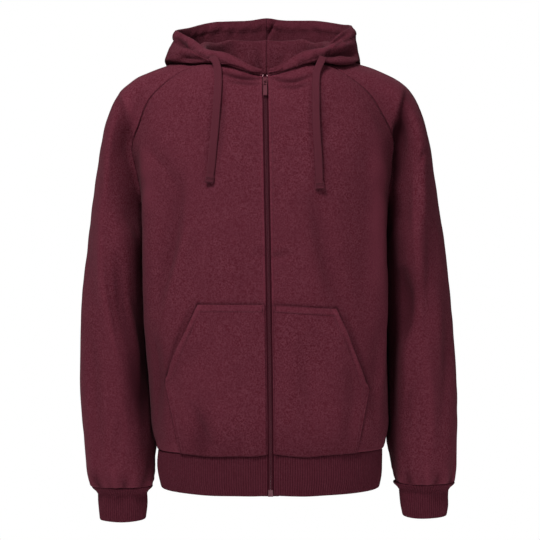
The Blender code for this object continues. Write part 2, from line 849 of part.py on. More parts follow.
def hem_band():
    """The hem rib from one zip edge round the back to the other."""
    top = HEM_SEAM - SEAM_GAP
    levels = (HEM_EDGE, 0.5 * (HEM_EDGE + top), top)
    outer = []
    inner = []
    for height in levels:
        left = torso_half(HEM, -1, height, False)
        left_back = torso_half(HEM, -1, height, True)[::-1]
        right = torso_half(HEM, 1, height, False)
        right_back = torso_half(HEM, 1, height, True)
        ring = np.concatenate([left, left_back[1:], right_back[1:], right[::-1][1:]])
        outer.append(ribbed(evenly(ring, 2 * HEM_RIBS), RIB_DEPTH))
        plain = evenly(ring, 48)
        inner.append(plain - across_facing(plain) * RIB_CLOTH)
    return band(outer, inner, False)


def across_facing(run, closed=False):
    """Level directions square to a run that goes clockwise seen from above."""
    if closed:
        along = np.roll(run, -1, axis=0) - np.roll(run, 1, axis=0)
    else:
        along = np.gradient(run, axis=0)
    facing = np.stack([-along[:, 1], along[:, 0], np.zeros(len(run))], axis=1)
    return facing / np.linalg.norm(facing, axis=1, keepdims=True)


def ribbed(run, depth, closed=False):
    """The run with every second point set back, which leaves upright ribs."""
    facing = across_facing(run, closed)
    back = (np.arange(len(run)) % 2) * depth
    return run - facing * back[:, None]


def cuff_band(place):
    """One ribbed cuff, a short open tube."""
    side = CUFF["side"][place]
    top = CUFF["top"][place] - SEAM_GAP
    outer = []
    inner = []
    for share in (1.0, 0.5, 0.0):
        height = top - CUFF_HEIGHT * share
        far = CUFF["top_outer"][place] * (1 - share) + CUFF["low_outer"][place] * share
        near = CUFF["top_inner"][place] * (1 - share) + CUFF["low_inner"][place] * share
        fore = CUFF["fore"][place]
        aft = CUFF["aft"][place]
        swell = 1.0 + 0.02 * math.sin(math.pi * share)
        outer.append(ribbed(oval(far, near, fore, aft, height, 2 * CUFF_RIBS, swell), RIB_DEPTH, True))
        plain = oval(far, near, fore, aft, height, 24, swell)
        inner.append(plain - across_facing(plain, True) * RIB_CLOTH)
    return band(outer, inner, True), side


def oval(far, near, fore, aft, height, count, swell):
    """A rounded ring that goes clockwise seen from above."""
    angle = -2 * math.pi * np.arange(count) / count
    low = min(far, near)
    high = max(far, near)
    power = 2 / 2.2
    across = np.sign(np.cos(angle)) * np.abs(np.cos(angle)) ** power
    depth = np.sign(np.sin(angle)) * np.abs(np.sin(angle)) ** power
    return np.stack([
        0.5 * (low + high) + 0.5 * (high - low) * across * swell,
        0.5 * (fore + aft) + 0.5 * (aft - fore) * depth * swell,
        np.full(count, height),
    ], axis=1)


def pocket_piece(cloth, grid, side):
    """A patch pocket: the front's own surface moved out, then trimmed to the pocket's outline."""
    outline = POCKET_LEFT if side < 0 else POCKET_RIGHT
    points = np.array(cloth.points)
    facing = cloth.normals()
    rows = [row for row in grid if points[row[0]][2] < -350]
    count = len(rows[0])
    layers = []
    mouth = 0.5 * np.array([outline["x"][1] + outline["x"][2], outline["z"][1] + outline["z"][2]])
    for row in rows:
        flat = points[row][:, [0, 2]] - mouth
        swell = 3.0 * np.exp(-(np.linalg.norm(flat, axis=1) / 60) ** 2)
        layers.append((points[row], facing[row], swell))
    inner = np.concatenate([spot + way * (0.4 + swell)[:, None] for spot, way, swell in layers])
    outer = np.concatenate([spot + way * (0.4 + CLOTH + swell)[:, None] for spot, way, swell in layers])
    total = len(inner)
    faces = []
    for row in range(len(rows) - 1):
        for place in range(count - 1):
            one = row * count + place
            for corners in ((one, one + 1, one + 1 + count), (one, one + 1 + count, one + count)):
                faces.append(tuple(total + number for number in corners))
                faces.append(corners[::-1])
    ring = [place for place in range(count)]
    ring += [row * count + count - 1 for row in range(1, len(rows))]
    ring += [(len(rows) - 1) * count + place for place in range(count - 2, -1, -1)]
    ring += [row * count for row in range(len(rows) - 2, 0, -1)]
    for place, number in enumerate(ring):
        after = ring[(place + 1) % len(ring)]
        faces.append((number, after, total + after, total + number))
    mesh = bmesh.new()
    corners = [mesh.verts.new(point) for point in np.concatenate([inner, outer])]
    for face in faces:
        mesh.faces.new([corners[number] for number in face])
    bmesh.ops.recalc_face_normals(mesh, faces=mesh.faces)
    zip_edge = (ZIP_HALF + 1.5) * side
    trims = [((zip_x(-394) + zip_edge, -394), (zip_x(-634) + zip_edge, -634), -side)]
    for place in range(len(outline["x"]) - 1):
        start = (outline["x"][place], outline["z"][place])
        end = (outline["x"][place + 1], outline["z"][place + 1])
        trims.append((start, end, None))
    trims.append(((0, HEM_SEAM + 1.0), (side * 100, HEM_SEAM + 1.0), None))
    centre = np.array([side * 70.0, -520.0])
    for start, end, _ in trims:
        line = np.array(end) - np.array(start)
        square = np.array([line[1], -line[0]])
        if square.dot(centre - np.array(start)) > 0:
            square = -square
        trim(mesh, start, square)
    points = np.array([corner.co[:] for corner in mesh.verts])
    mesh.verts.index_update()
    faces = [tuple(corner.index for corner in face.verts) for face in mesh.faces]
    mesh.free()
    return points, faces


def trim(mesh, start, square):
    """Cuts a closed wall with an upright plane and closes the cut."""
    everything = list(mesh.verts) + list(mesh.edges) + list(mesh.faces)
    bmesh.ops.bisect_plane(
        mesh,
        geom=everything,
        plane_co=(start[0], 0, start[1]),
        plane_no=(square[0], 0, square[1]),
        clear_outer=True,
        dist=1e-5,
    )
    open_edges = [edge for edge in mesh.edges if len(edge.link_faces) == 1]
    if open_edges:
        bmesh.ops.holes_fill(mesh, edges=open_edges, sides=0)
        bmesh.ops.triangulate(mesh, faces=[face for face in mesh.faces if len(face.verts) > 4])


def zip_path(cloth, edges):
    """Points of the zip line on the outer cloth, from the hem edge to the neck."""
    points = np.array(cloth.points)
    left = points[edges["front"][-1]]
    right = points[edges["front"][1]]
    upper = 0.5 * (left + right)
    low = []
    for height in (HEM_EDGE, 0.5 * (HEM_EDGE + HEM_SEAM - SEAM_GAP), HEM_SEAM - SEAM_GAP):
        low.append([zip_x(height), -read(HEM, "front", "height", height), height])
    return np.concatenate([np.array(low), upper])


def path_facing(path):
    """Directions square to the zip line, out of the front."""
    along = np.gradient(path, axis=0)
    facing = np.stack([np.zeros(len(path)), -along[:, 2], along[:, 1]], axis=1)
    return facing / np.linalg.norm(facing, axis=1, keepdims=True)


def strip(path, facing, outline):
    """A strip along the zip line; its outline gives distances across and depths."""
    points = []
    count = len(outline)
    for spot, way in zip(path, facing):
        for across, depth in outline:
            points.append(spot + np.array([across, 0, 0]) + way * depth)
    faces = [tuple(range(count)), tuple(count * (len(path) - 1) + number for number in range(count))[::-1]]
    for row in range(len(path) - 1):
        one = count * row
        for place in range(count):
            after = (place + 1) % count
            faces.append((one + place, one + count + place, one + count + after, one + after))
    return np.array(points), faces


def tape_outline(side, middle, behind):
    """The tape runs from the chain's middle depth, past the cloth's edge, to behind the cloth."""
    half = 0.5 * TAPE_THICK
    line = (
        (TAPE_INNER, middle + half),
        (TAPE_BEND, middle + half),
        (ZIP_HALF, behind),
        (TAPE_OUTER, behind),
        (TAPE_OUTER, behind - TAPE_THICK),
        (ZIP_HALF - 0.4, behind - TAPE_THICK),
        (TAPE_BEND - 0.4, middle - half),
        (TAPE_INNER, middle - half),
    )
    return [(side * across, depth) for across, depth in line]


def trim_path(path, low, high):
    """The part of the zip line between two heights."""
    heights = path[:, 2]
    inside = path[(heights > low + 0.5) & (heights < high - 0.5)]
    ends = [np.array([np.interp(level, heights, path[:, axis]) for axis in range(3)]) for level in (low, high)]
    return np.concatenate([[ends[0]], inside, [ends[1]]])


def prism(outline, half, across=0.0):
    """An outline in depth and height carried half its width to both sides."""
    count = len(outline)
    points = [(across - half, y, z) for y, z in outline] + [(across + half, y, z) for y, z in outline]
    faces = [tuple(range(count))[::-1], tuple(range(count, 2 * count))]
    for place in range(count):
        after = (place + 1) % count
        faces.append((place, after, count + after, count + place))
    return points, faces


def join_solids(parts):
    """Adds up solids that run into each other."""
    base = None
    for points, faces in parts:
        mesh = bpy.data.meshes.new("zip_piece")
        mesh.from_pydata([tuple(point) for point in points], [], faces)
        shape = bmesh.new()
        shape.from_mesh(mesh)
        bmesh.ops.recalc_face_normals(shape, faces=shape.faces)
        shape.to_mesh(mesh)
        shape.free()
        piece = bpy.data.objects.new("zip_piece", mesh)
        bpy.context.scene.collection.objects.link(piece)
        if base is None:
            base = piece
            continue
        union = base.modifiers.new("join", "BOOLEAN")
        union.operation = "UNION"
        union.solver = "EXACT"
        union.object = piece
        bpy.context.view_layer.update()
        graph = bpy.context.evaluated_depsgraph_get()
        joined = bpy.data.meshes.new_from_object(base.evaluated_get(graph))
        base.modifiers.clear()
        base.data = joined
        bpy.data.objects.remove(piece)
    points = np.array([corner.co[:] for corner in base.data.vertices])
    faces = [tuple(face.vertices) for face in base.data.polygons]
    bpy.data.objects.remove(base)
    return points, faces


def rod(radius, half, y, z, sides=10):
    """A round bar along X."""
    outline = [
        (y + radius * math.cos(2 * math.pi * turn / sides), z + radius * math.sin(2 * math.pi * turn / sides))
        for turn in range(sides)
    ]
    return prism(outline, half)


def box(low, high):
    """A plain block."""
    outline = [(low[1], low[2]), (high[1], low[2]), (high[1], high[2]), (low[1], high[2])]
    return prism(outline, 0.5 * (high[0] - low[0]), 0.5 * (high[0] + low[0]))


def slider_parts():
    """The slider in its own frame: front towards -Y, top up, the chain's middle at depth 0."""
    half_chain = 0.5 * CHAIN_THICK + 0.55
    front = -(half_chain + PLATE_THICK)
    rear = half_chain + PLATE_THICK
    high = SLIDER_LENGTH
    front_plate = [
        (front, 0.4), (front, high - 1.0), (front + 0.6, high), (-half_chain, high), (-half_chain, 0),
        (front + 0.4, 0),
    ]
    rear_plate = [
        (half_chain, 0), (half_chain, high), (rear - 0.4, high), (rear, high - 0.8), (rear, 0.4), (rear - 0.4, 0),
    ]
    post = [
        (-half_chain - 0.4, high - 3.2), (half_chain + 0.4, high - 3.2), (half_chain + 0.4, high - 0.3),
        (-half_chain - 0.4, high - 0.3),
    ]
    start = 0.5 * (SLIDER_LENGTH - BRIDGE_LENGTH)
    top = start + BRIDGE_LENGTH
    out = front - BRIDGE_HEIGHT
    bridge = [
        (front + 0.4, start), (front - 0.6, start), (out, start + 1.6), (out, top - 1.6),
        (front - 0.6, top), (front + 0.4, top), (front + 0.4, top - 1.3), (front - 0.5, top - 1.5),
        (out + 1.1, top - 2.2), (out + 1.1, start + 2.2), (front - 0.5, start + 1.5), (front + 0.4, start + 1.3),
    ]
    return [
        prism(front_plate, 0.5 * SLIDER_WIDTH),
        prism(post, POST_HALF),
        prism(rear_plate, 0.5 * SLIDER_WIDTH),
        prism(bridge, 0.5 * BRIDGE_WIDTH),
    ], front


def pull_parts(y, z):
    """The pull in the slider's frame: a bar under the bridge, two arms and a flat tab."""
    arm = 0.9
    inner = 0.5 * BRIDGE_WIDTH + 0.6
    outer = 0.5 * TAB_WIDTH - 0.3
    low = z - LINK_LENGTH
    parts = [rod(BAR_RADIUS, outer, y, z)]
    for side in (-1, 1):
        start = inner if side > 0 else -outer
        end = outer if side > 0 else -inner
        parts.append(box((start, y - 0.5 * arm, low), (end, y + 0.5 * arm, z + 0.3)))
    top = low + 1.0
    tab = [
        (y - 0.5 * TAB_THICK, top - 0.6), (y - 0.5 * TAB_THICK + 0.5, top), (y + 0.5 * TAB_THICK - 0.5, top),
        (y + 0.5 * TAB_THICK, top - 0.6), (y + 0.5 * TAB_THICK, top - TAB_LENGTH + 0.6),
        (y + 0.5 * TAB_THICK - 0.5, top - TAB_LENGTH), (y - 0.5 * TAB_THICK + 0.5, top - TAB_LENGTH),
        (y - 0.5 * TAB_THICK, top - TAB_LENGTH + 0.6),
    ]
    parts.append(prism(tab, 0.5 * TAB_WIDTH))
    return parts


def tilt(points, slope, centre):
    """Turns points about X by the slope of the zip line and moves them to their place."""
    points = np.asarray(points, dtype=float)
    turned = points.copy()
    turned[:, 1] = points[:, 1] * math.cos(slope) - points[:, 2] * math.sin(slope)
    turned[:, 2] = points[:, 1] * math.sin(slope) + points[:, 2] * math.cos(slope)
    return turned + centre


def cord_solid(rows, trees):
    """A flat cord lying down the front: rounded rings along its run."""
    across = rows["x"]
    height = rows["z"]
    keys = lengths(np.stack([across, np.zeros(len(across)), height], axis=1))
    run = curve(keys, np.stack([across, height, rows["off"], rows["width"]], axis=1), np.linspace(0, keys[-1], 25))
    spots = []
    ways = []
    for x, z, off, _ in run:
        best = None
        for tree in trees:
            spot, facing, _, _ = tree.ray_cast(Vector((x, -400, z)), Vector((0, 1, 0)))
            if spot is not None and (best is None or spot.y < best[0].y):
                best = (spot, facing)
        spot, facing = best
        spots.append(np.array([x, spot.y - off, z]))
        ways.append(np.array(facing) if facing.y < 0 else -np.array(facing))
    spots = np.array(spots)
    depth = spots[:, 1].copy()
    for _ in range(4):
        depth[1:-1] = np.minimum(depth[1:-1], 0.5 * (depth[:-2] + depth[2:]))
    spots[:, 1] = depth
    along = np.gradient(spots, axis=0)
    along /= np.linalg.norm(along, axis=1, keepdims=True)
    points = []
    for spot, line, (_, _, _, width) in zip(spots, along, run):
        side = np.array([1.0, 0.0, 0.0])
        side = side - line * side.dot(line)
        side /= np.linalg.norm(side)
        out = np.cross(line, side)
        for turn in range(CORD_SIDES):
            angle = 2 * math.pi * (turn + 0.5) / CORD_SIDES
            wide = math.copysign(abs(math.cos(angle)) ** 0.7, math.cos(angle))
            deep = math.copysign(abs(math.sin(angle)) ** 0.7, math.sin(angle))
            points.append(spot + side * 0.5 * width * wide + out * 0.5 * CORD_THICK * deep)
    faces = []
    count = len(spots)
    for row in range(count - 1):
        for turn in range(CORD_SIDES):
            after = (turn + 1) % CORD_SIDES
            one = row * CORD_SIDES
            faces.append((one + turn, one + after, one + CORD_SIDES + after, one + CORD_SIDES + turn))
    faces.append(tuple(range(CORD_SIDES))[::-1])
    faces.append(tuple((count - 1) * CORD_SIDES + turn for turn in range(CORD_SIDES)))
    return np.array(points), faces


def main():
    for item in list(bpy.data.objects):
        bpy.data.objects.remove(item)
    burgundy = (0.085, 0.022, 0.033)
    fleece = material("burgundy_fleece", burgundy, 0.95)
    rib = material("burgundy_rib", (0.078, 0.020, 0.031), 0.95)
    hood_look = material("burgundy_fleece_hood", (0.088, 0.023, 0.035), 0.95)
    cord_look = material("burgundy_flat_cord", (0.090, 0.024, 0.036), 0.9)
    tape_look = material("burgundy_zip_tape", (0.070, 0.018, 0.028), 0.9)
    coil_look = material("burgundy_nylon_coil", (0.060, 0.016, 0.026), 0.5)
    slider_look = material("burgundy_painted_metal", (0.075, 0.022, 0.034), 0.4)
    steel = material("zip_bright_metal", (0.45, 0.42, 0.42), 0.35, 1.0)

    cloth, edges = build_shell()
    plain = np.full(len(cloth.points), CLOTH)
    for name in ("front_left", "front_right", "back", "sleeve_left", "sleeve_right"):
        points, faces = cloth.cut(name, plain)
        place_piece(name, points, faces, fleece)

    outer = np.array(cloth.points)
    neck = {side: outer[edges["neck"][side]] for side in (-1, 1)}
    shell_tree = sheet_tree(cloth)
    hood, grids = build_hood(neck)
    seam_points = {number for side in (-1, 1) for number in grids[side][0]}
    keep_off(hood, shell_tree, HOOD_CLEAR, seam_points)
    spots = np.array(hood.points)
    for side in (-1, 1):
        for row in grids[side]:
            spots[row[-1]][0] = 0.0
    hood.points = list(spots)
    thick = np.full(len(spots), CLOTH)
    for side in (-1, 1):
        for row in grids[side][-2:]:
            thick[row] = CLOTH + CASING_EXTRA
        thick[grids[side][-3]] = CLOTH + 0.5 * CASING_EXTRA
    for name in ("hood_left", "hood_right"):
        points, faces = hood.cut(name, thick)
        place_piece(name, points, faces, hood_look)

    points, faces = hem_band()
    place_piece("hem_rib", points, faces, rib)
    for place, name in enumerate(("cuff_left", "cuff_right")):
        (points, faces), _ = cuff_band(place)
        place_piece(name, points, faces, rib)
    for side in (-1, 1):
        points, faces = pocket_piece(cloth, edges["grids"][side], side)
        place_piece("pocket_" + side_name(side), points, faces, fleece)

    path = zip_path(cloth, edges)
    top = path[-1][2]
    tape_path = trim_path(path, HEM_EDGE + 12.5, top - 1.0)
    facing = path_facing(tape_path)
    chain_middle = CHAIN_PROUD - 0.5 * CHAIN_THICK
    for side in (-1, 1):
        outline = tape_outline(side, chain_middle, -(CLOTH + TAPE_BEHIND))
        points, faces = strip(tape_path, facing, outline)
        place_piece("zip_tape_" + side_name(side), points, faces, tape_look, False)
    slider_low = top - 3.6 - SLIDER_LENGTH
    chain_path = trim_path(path, HEM_EDGE + 12.5, slider_low + 0.66 * SLIDER_LENGTH)
    facing = path_facing(chain_path)
    low_depth = CHAIN_PROUD - CHAIN_THICK
    outline = [(-CHAIN_HALF, CHAIN_PROUD), (CHAIN_HALF, CHAIN_PROUD), (CHAIN_HALF, low_depth), (-CHAIN_HALF, low_depth)]
    points, faces = strip(chain_path, facing, outline)
    place_piece("zip_chain", points, faces, coil_look, False)
    return path, slider_low, slider_look, steel, cord_look, shell_tree, hood


def trims(path, slider_low, slider_look, steel, cord_look, shell_tree, hood):
    """Slider, pull, stops, bottom box and cords."""
    heights = path[:, 2]

    def spot(level):
        return np.array([np.interp(level, heights, path[:, axis]) for axis in range(3)])

    low = spot(slider_low)
    high = spot(slider_low + SLIDER_LENGTH)
    slope = math.atan2(-(high[1] - low[1]), high[2] - low[2])
    turned_out = np.array([0.0, -math.cos(slope), -math.sin(slope)])
    middle = low + turned_out * (CHAIN_PROUD - 0.5 * CHAIN_THICK)
    parts, front = slider_parts()
    points, faces = join_solids(parts)
    place_piece("zip_slider", tilt(points, slope, middle), faces, slider_look, False)

    bar_y = front - 0.5 * BRIDGE_HEIGHT + 0.35
    bar_z = 0.5 * SLIDER_LENGTH - 0.6
    pivot = tilt(np.array([[0.0, bar_y, bar_z]]), slope, middle)[0]
    points, faces = join_solids(pull_parts(bar_y, bar_z))
    place_piece("zip_pull", tilt(points, slope, middle), faces, slider_look, False, pivot)
    print("pull pivot", [round(value, 3) for value in pivot], "slope", round(math.degrees(slope), 2))

    for side in (-1, 1):
        at = spot(slider_low + SLIDER_LENGTH + 2.0)
        block = box((side * 3.4 - 0.8, -1.2, -1.6), (side * 3.4 + 0.8, 0.2, 1.6))
        name = "zip_top_stop_" + side_name(side)
        place_piece(name, tilt(block[0], slope, at), block[1], steel, False)
    at = spot(HEM_EDGE + 7.0)
    block = box((-3.8, -1.7, -5.0), (3.8, 1.7, 5.0))
    place_piece("zip_bottom_box", np.array(block[0]) + at + np.array([0, 0.9, 0]), block[1], steel, False)

    trees = [shell_tree, sheet_tree(hood)]
    for name, rows in (("cord_left", CORD_LEFT), ("cord_right", CORD_RIGHT)):
        points, faces = cord_solid(rows, trees)
        place_piece(name, points, faces, cord_look)


trims(*main())
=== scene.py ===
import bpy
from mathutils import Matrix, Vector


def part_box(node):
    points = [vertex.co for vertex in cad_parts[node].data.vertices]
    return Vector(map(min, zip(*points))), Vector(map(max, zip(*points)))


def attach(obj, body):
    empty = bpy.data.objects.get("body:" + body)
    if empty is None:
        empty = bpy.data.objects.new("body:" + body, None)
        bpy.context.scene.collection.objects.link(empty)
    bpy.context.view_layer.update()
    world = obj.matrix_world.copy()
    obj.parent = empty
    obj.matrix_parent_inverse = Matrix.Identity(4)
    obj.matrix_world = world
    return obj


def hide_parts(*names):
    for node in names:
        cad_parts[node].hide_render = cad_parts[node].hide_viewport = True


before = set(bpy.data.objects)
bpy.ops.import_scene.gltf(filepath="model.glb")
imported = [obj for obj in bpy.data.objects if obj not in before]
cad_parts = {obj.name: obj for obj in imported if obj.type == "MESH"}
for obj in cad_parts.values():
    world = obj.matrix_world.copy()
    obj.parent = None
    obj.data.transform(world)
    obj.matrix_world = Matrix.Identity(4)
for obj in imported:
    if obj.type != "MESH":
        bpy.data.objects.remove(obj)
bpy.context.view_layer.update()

# Zip-up hooded sweatshirt. Cloth, ribs, seams, stitches, coil and cords are built here over the frame's own
# forms: the coarse sheet below repeats the frame's named sizes, and every piece is refined from it.
# Lengths are in millimetres until a mesh is made, and -1 is the side that is left in the front view.

import copy
import math
from types import SimpleNamespace

import bmesh
import bpy
import numpy as np
from mathutils import Vector
from mathutils.bvhtree import BVHTree

MM = 0.001
SIDES = {-1: "left", 1: "right"}

# cloth and seams
CLOTH = 2.2
HOOD_CLEAR = 1.6
KEEP_REACH = 30
SLEEVE_CLEAR = 1.0
UNDERARM_WEDGE = 1.0
CASING_EXTRA = 1.2
CASING_PUFF = 4.2
CASING_WIDTH = 21.0
HEM_SEAM = -640.0
HEM_EDGE = -702.0
UNDERARM = -245.0
SIDE_DEPTH = 8.0
CUFF_HEIGHT = 57.0
CUFF_FLARE = 10.5
# what the wall is thicker than CLOTH by, where it is turned or knitted thicker
FRONT_EXTRA = 0.6
RIB_EXTRA = 0.8
POCKET_EXTRA = 0.3
RIM_EXTRA = 1.4

# roundness of sleeves and cuffs (2 is an ellipse), and how a sleeve's front rolls back next to the body
SLEEVE_SQUARE = 2.25
CUFF_SQUARE = 2.2
ROLL_BACK = 4
ROLL_DEPTH = 76
ROLL_POWER = {-1: 1.1, 1: 1.35}
ROLL_SOFT = 8
ROLL_TOP = -262
ROLL_FADE = 40

# the large gathers above a cuff: height, middle in depth, push
GATHER_REACH = 75
GATHER_MIDDLE = 12
GATHER_PUSH = 2.6

# zip
ZIP_HALF = 4.6
CHAIN_THICK = 2.4
CHAIN_PROUD = 0.2
SLIDER_LENGTH = 13.0
TAPE_WIDTH = 13.0
TAPE_THICK = 0.9
TAPE_STEP = 4.0
COIL_PITCH = 1.35
COIL_RADIUS = 0.31
COIL_SIDES = 6

# cords
CORD_WIDTH = 12.0
CORD_THICK = 3.0
CORD_RINGS = 97
CORD_SIDES = 24
CORD_TACKS = (2.0, 6.0, 10.0)
SLIT_HALF = 7.5

# columns and rows of the coarse sheet, and fine steps in each cell
FRONT_COLUMNS = 11
BACK_COLUMNS = 9
SLEEVE_COLUMNS = 24
BODY_ROWS = 12
YOKE_ROWS = 9
HOOD_COLUMNS = 19
HOOD_ROWS = 16
ARM_DROPS = (0.055, 0.13, 0.21, 0.29, 0.37, 0.45, 0.53, 0.61, 0.69, 0.77, 0.84, 0.90, 0.94, 0.972, 1.0)
FINE_FRONT = 8
FINE_ACROSS = 5
FINE_SLEEVE = 6
FINE_BODY = 12
FINE_YOKE = 8
FINE_ARM = 7
FINE_HOOD = 5
QUARTER_STEPS = 60
CUFF_STEPS = 240
CREASE_STEPS = 12

# the column of the back that meets each front
BACK_EDGES = {1: 0, -1: -1}

# sewing: pitch, length and radius of the stitches, and along, size and lift of each ring of one stitch
STITCH_SIZE = (3.1, 2.3, 0.33)
SLIT_STITCH = (0.75, 1.9, 0.33)
TACK_STITCH = (0.9, 2.2, 0.3)
STITCH_SIDES = 6
STITCH_RINGS = ((-0.5, 0.0, -0.8), (-0.38, 0.85, 0.05), (0.0, 1.0, 0.5), (0.38, 0.85, 0.05), (0.5, 0.0, -0.8))
ZIP_STITCH = 5.2
RAGLAN_STITCH = 5.2
NECK_STITCH = 6.0
HEM_STITCH = 5.0
CASING_STITCH = 19.5
CENTRE_STITCH = 3.6

# ribs
RIB_PITCH = 3.75
RIB_STEPS = 6
RIB_DEPTH = 1.2

# colour, how far the tone's painted shade may darken it and its painted light lighten it, and how fast
# creases fade where the cloth turns away
DYE = (0.106, 0.0205, 0.0335)
PAINTED_SHADE_LIMIT = -1.4
PAINTED_LIGHT_LIMIT = 1.0
CREASE_TURN = 2.2

# the photograph: its width, the size of a pixel at mid depth, and the camera's place
PHOTO_PIXELS = 540
PIXEL = 1.68
SENSOR = 36.0
CAMERA_AWAY = 2400
CAMERA_X = 6
CAMERA_Z = -339

# even light from the white surroundings; lamps aim at one place, in metres
WORLD_FILL = 0.24
LAMP_AIM = (0, 0, -0.35)
FLOOR_LEVEL = -985.0
FLOOR_RADIUS = 1000
FLOOR_SIDES = 96
RAY_START = -400

# pockets: how far the mouth stands off and the middle swells; for the hems of top, mouth and side the reach,
# softness and rise of the turned edge and the place, depth and width of its stitched groove; for the painted
# shade beside each edge its width and depth
POCKET_STAND = 5.2
POCKET_BELLY = 1.4
POCKET_GAP = 0.25
POCKET_HEMS = (
    (12.0, 2.5, 1.1, 10.5, 0.9, 1.2),
    (9.0, 2.5, 1.1, 7.5, 0.9, 1.2),
    (5.0, 2.0, 0.5, 3.0, 0.8, 1.0),
)
POCKET_SHADES = ((2.4, 0.7), (3.6, 1.6), (2.6, 1.2), (2.2, 0.9))


def table(names, *rows):
    """A table of numbers with a name for each column."""
    values = np.array(rows, dtype=float)
    return {name: values[:, place] for place, name in enumerate(names.split())}


LAMPS = table(
    "x y z size watts",
    (-0.62, -1.45, 1.30, 0.55, 40),
    (1.3, -2.2, 0.6, 1.4, 8),
    (0.2, 1.7, 1.5, 1.4, 18),
    (-2.0, 0.6, 0.3, 1.2, 4),
)
HEM_WAVES = table("x width lift", (8, 20, 2.6), (-78, 30, -1.9), (150, 32, 2.6), (66, 22, -1.2))
TORSO = table(
    "height left right front back square",
    (-640, 182, 195, 126, 112, 2.5),
    (-622, 188, 202, 131, 115, 2.5),
    (-556, 194, 203, 133, 114, 2.5),
    (-472, 201, 202, 135, 114, 2.5),
    (-372, 205, 200, 137, 117, 2.5),
    (-306, 206, 199, 138, 122, 2.5),
    (-245, 206, 201, 137, 126, 2.5),
)
HEM = table(
    "height left right front back square",
    (-702, 176, 189, 122, 108, 2.5),
    (-680, 181, 193, 125, 111, 2.5),
    (-640, 181, 194, 126, 112, 2.5),
)
ZIP_LINE = table("height across", (-702, 7), (-640, 7), (-380, 4), (-200, 1), (-25, -2))
FRONT_SEAM = table(
    "up left right depth height turn",
    (0.00, -205, 202, 8, -245, 90),
    (0.23, -219, 209, -22, -175, 84),
    (0.42, -223, 210, -45, -115, 76),
    (0.54, -207, 192, -62, -86, 68),
    (0.63, -190, 168, -70, -60, 62),
    (0.75, -163, 143, -72, -31, 60),
    (0.86, -131, 114, -66, -10, 60),
    (1.00, -88, 84, -53, 4, 62),
)
BACK_SEAM = table(
    "up across depth height turn",
    (0.00, 205, 8, -245, 90),
    (0.23, 214, 52, -185, 84),
    (0.42, 196, 82, -130, 74),
    (0.54, 172, 96, -88, 66),
    (0.63, 152, 98, -64, 62),
    (0.75, 126, 95, -38, 58),
    (0.86, 100, 86, -14, 58),
    (1.00, 70, 62, 8, 60),
)
MIDDLE = table(
    "up front_depth front_height back_depth back_height",
    (0.00, -137, -245, 126, -245),
    (0.23, -136, -200, 128, -200),
    (0.42, -131, -155, 127, -150),
    (0.54, -127, -125, 123, -115),
    (0.63, -122, -98, 118, -84),
    (0.75, -116, -70, 108, -52),
    (0.86, -109, -46, 95, -24),
    (1.00, -100, -25, 78, -2),
)
SHOULDER = table(
    "up left left_height right right_height fore aft",
    (0.00, -299, -258, 295, -258, -76, 104),
    (0.23, -284, -170, 281, -170, -73, 96),
    (0.42, -268, -98, 266, -98, -72, 84),
    (0.54, -252, -49, 249, -48, -69, 78),
    (0.63, -230, -26, 229, -27, -64, 72),
    (0.75, -190, -6, 190, -7, -54, 64),
    (0.86, -150, 8, 150, 9, -44, 54),
    (1.00, -100, 18, 98, 18, -32, 36),
)
SLEEVE = {
    -1: table(
        "height outer inner fore aft",
        (-702, -297, -192, -33, 54),
        (-688, -301, -189, -45, 75),
        (-660, -304, -188, -48, 86),
        (-625, -308, -186, -49, 94),
        (-556, -314, -182, -52, 102),
        (-473, -314, -184, -57, 108),
        (-389, -312, -186, -63, 112),
        (-305, -303, -192, -69, 114),
        (-258, -299, -204, -73, 112),
    ),
    1: table(
        "height outer inner fore aft",
        (-696, 316, 217, -33, 54),
        (-682, 318, 214, -45, 75),
        (-655, 319, 209, -48, 84),
        (-625, 321, 204, -49, 90),
        (-556, 322, 188, -52, 102),
        (-473, 318, 184, -57, 108),
        (-389, 312, 184, -63, 112),
        (-305, 302, 188, -69, 114),
        (-258, 295, 201, -73, 112),
    ),
}
INSIDE = table(
    "height left right",
    (-700, 16, 14),
    (-600, 38, 30),
    (-480, 50, 46),
    (-400, 38, 56),
    (-330, 32, 50),
    (-250, 32, 38),
)
CUFF = table(
    "side top_outer top_inner low_outer low_inner fore aft top",
    (-1, -284, -202, -280, -204, -21, 41, -702),
    (1, 307, 224, 303, 230, -21, 41, -696),
)
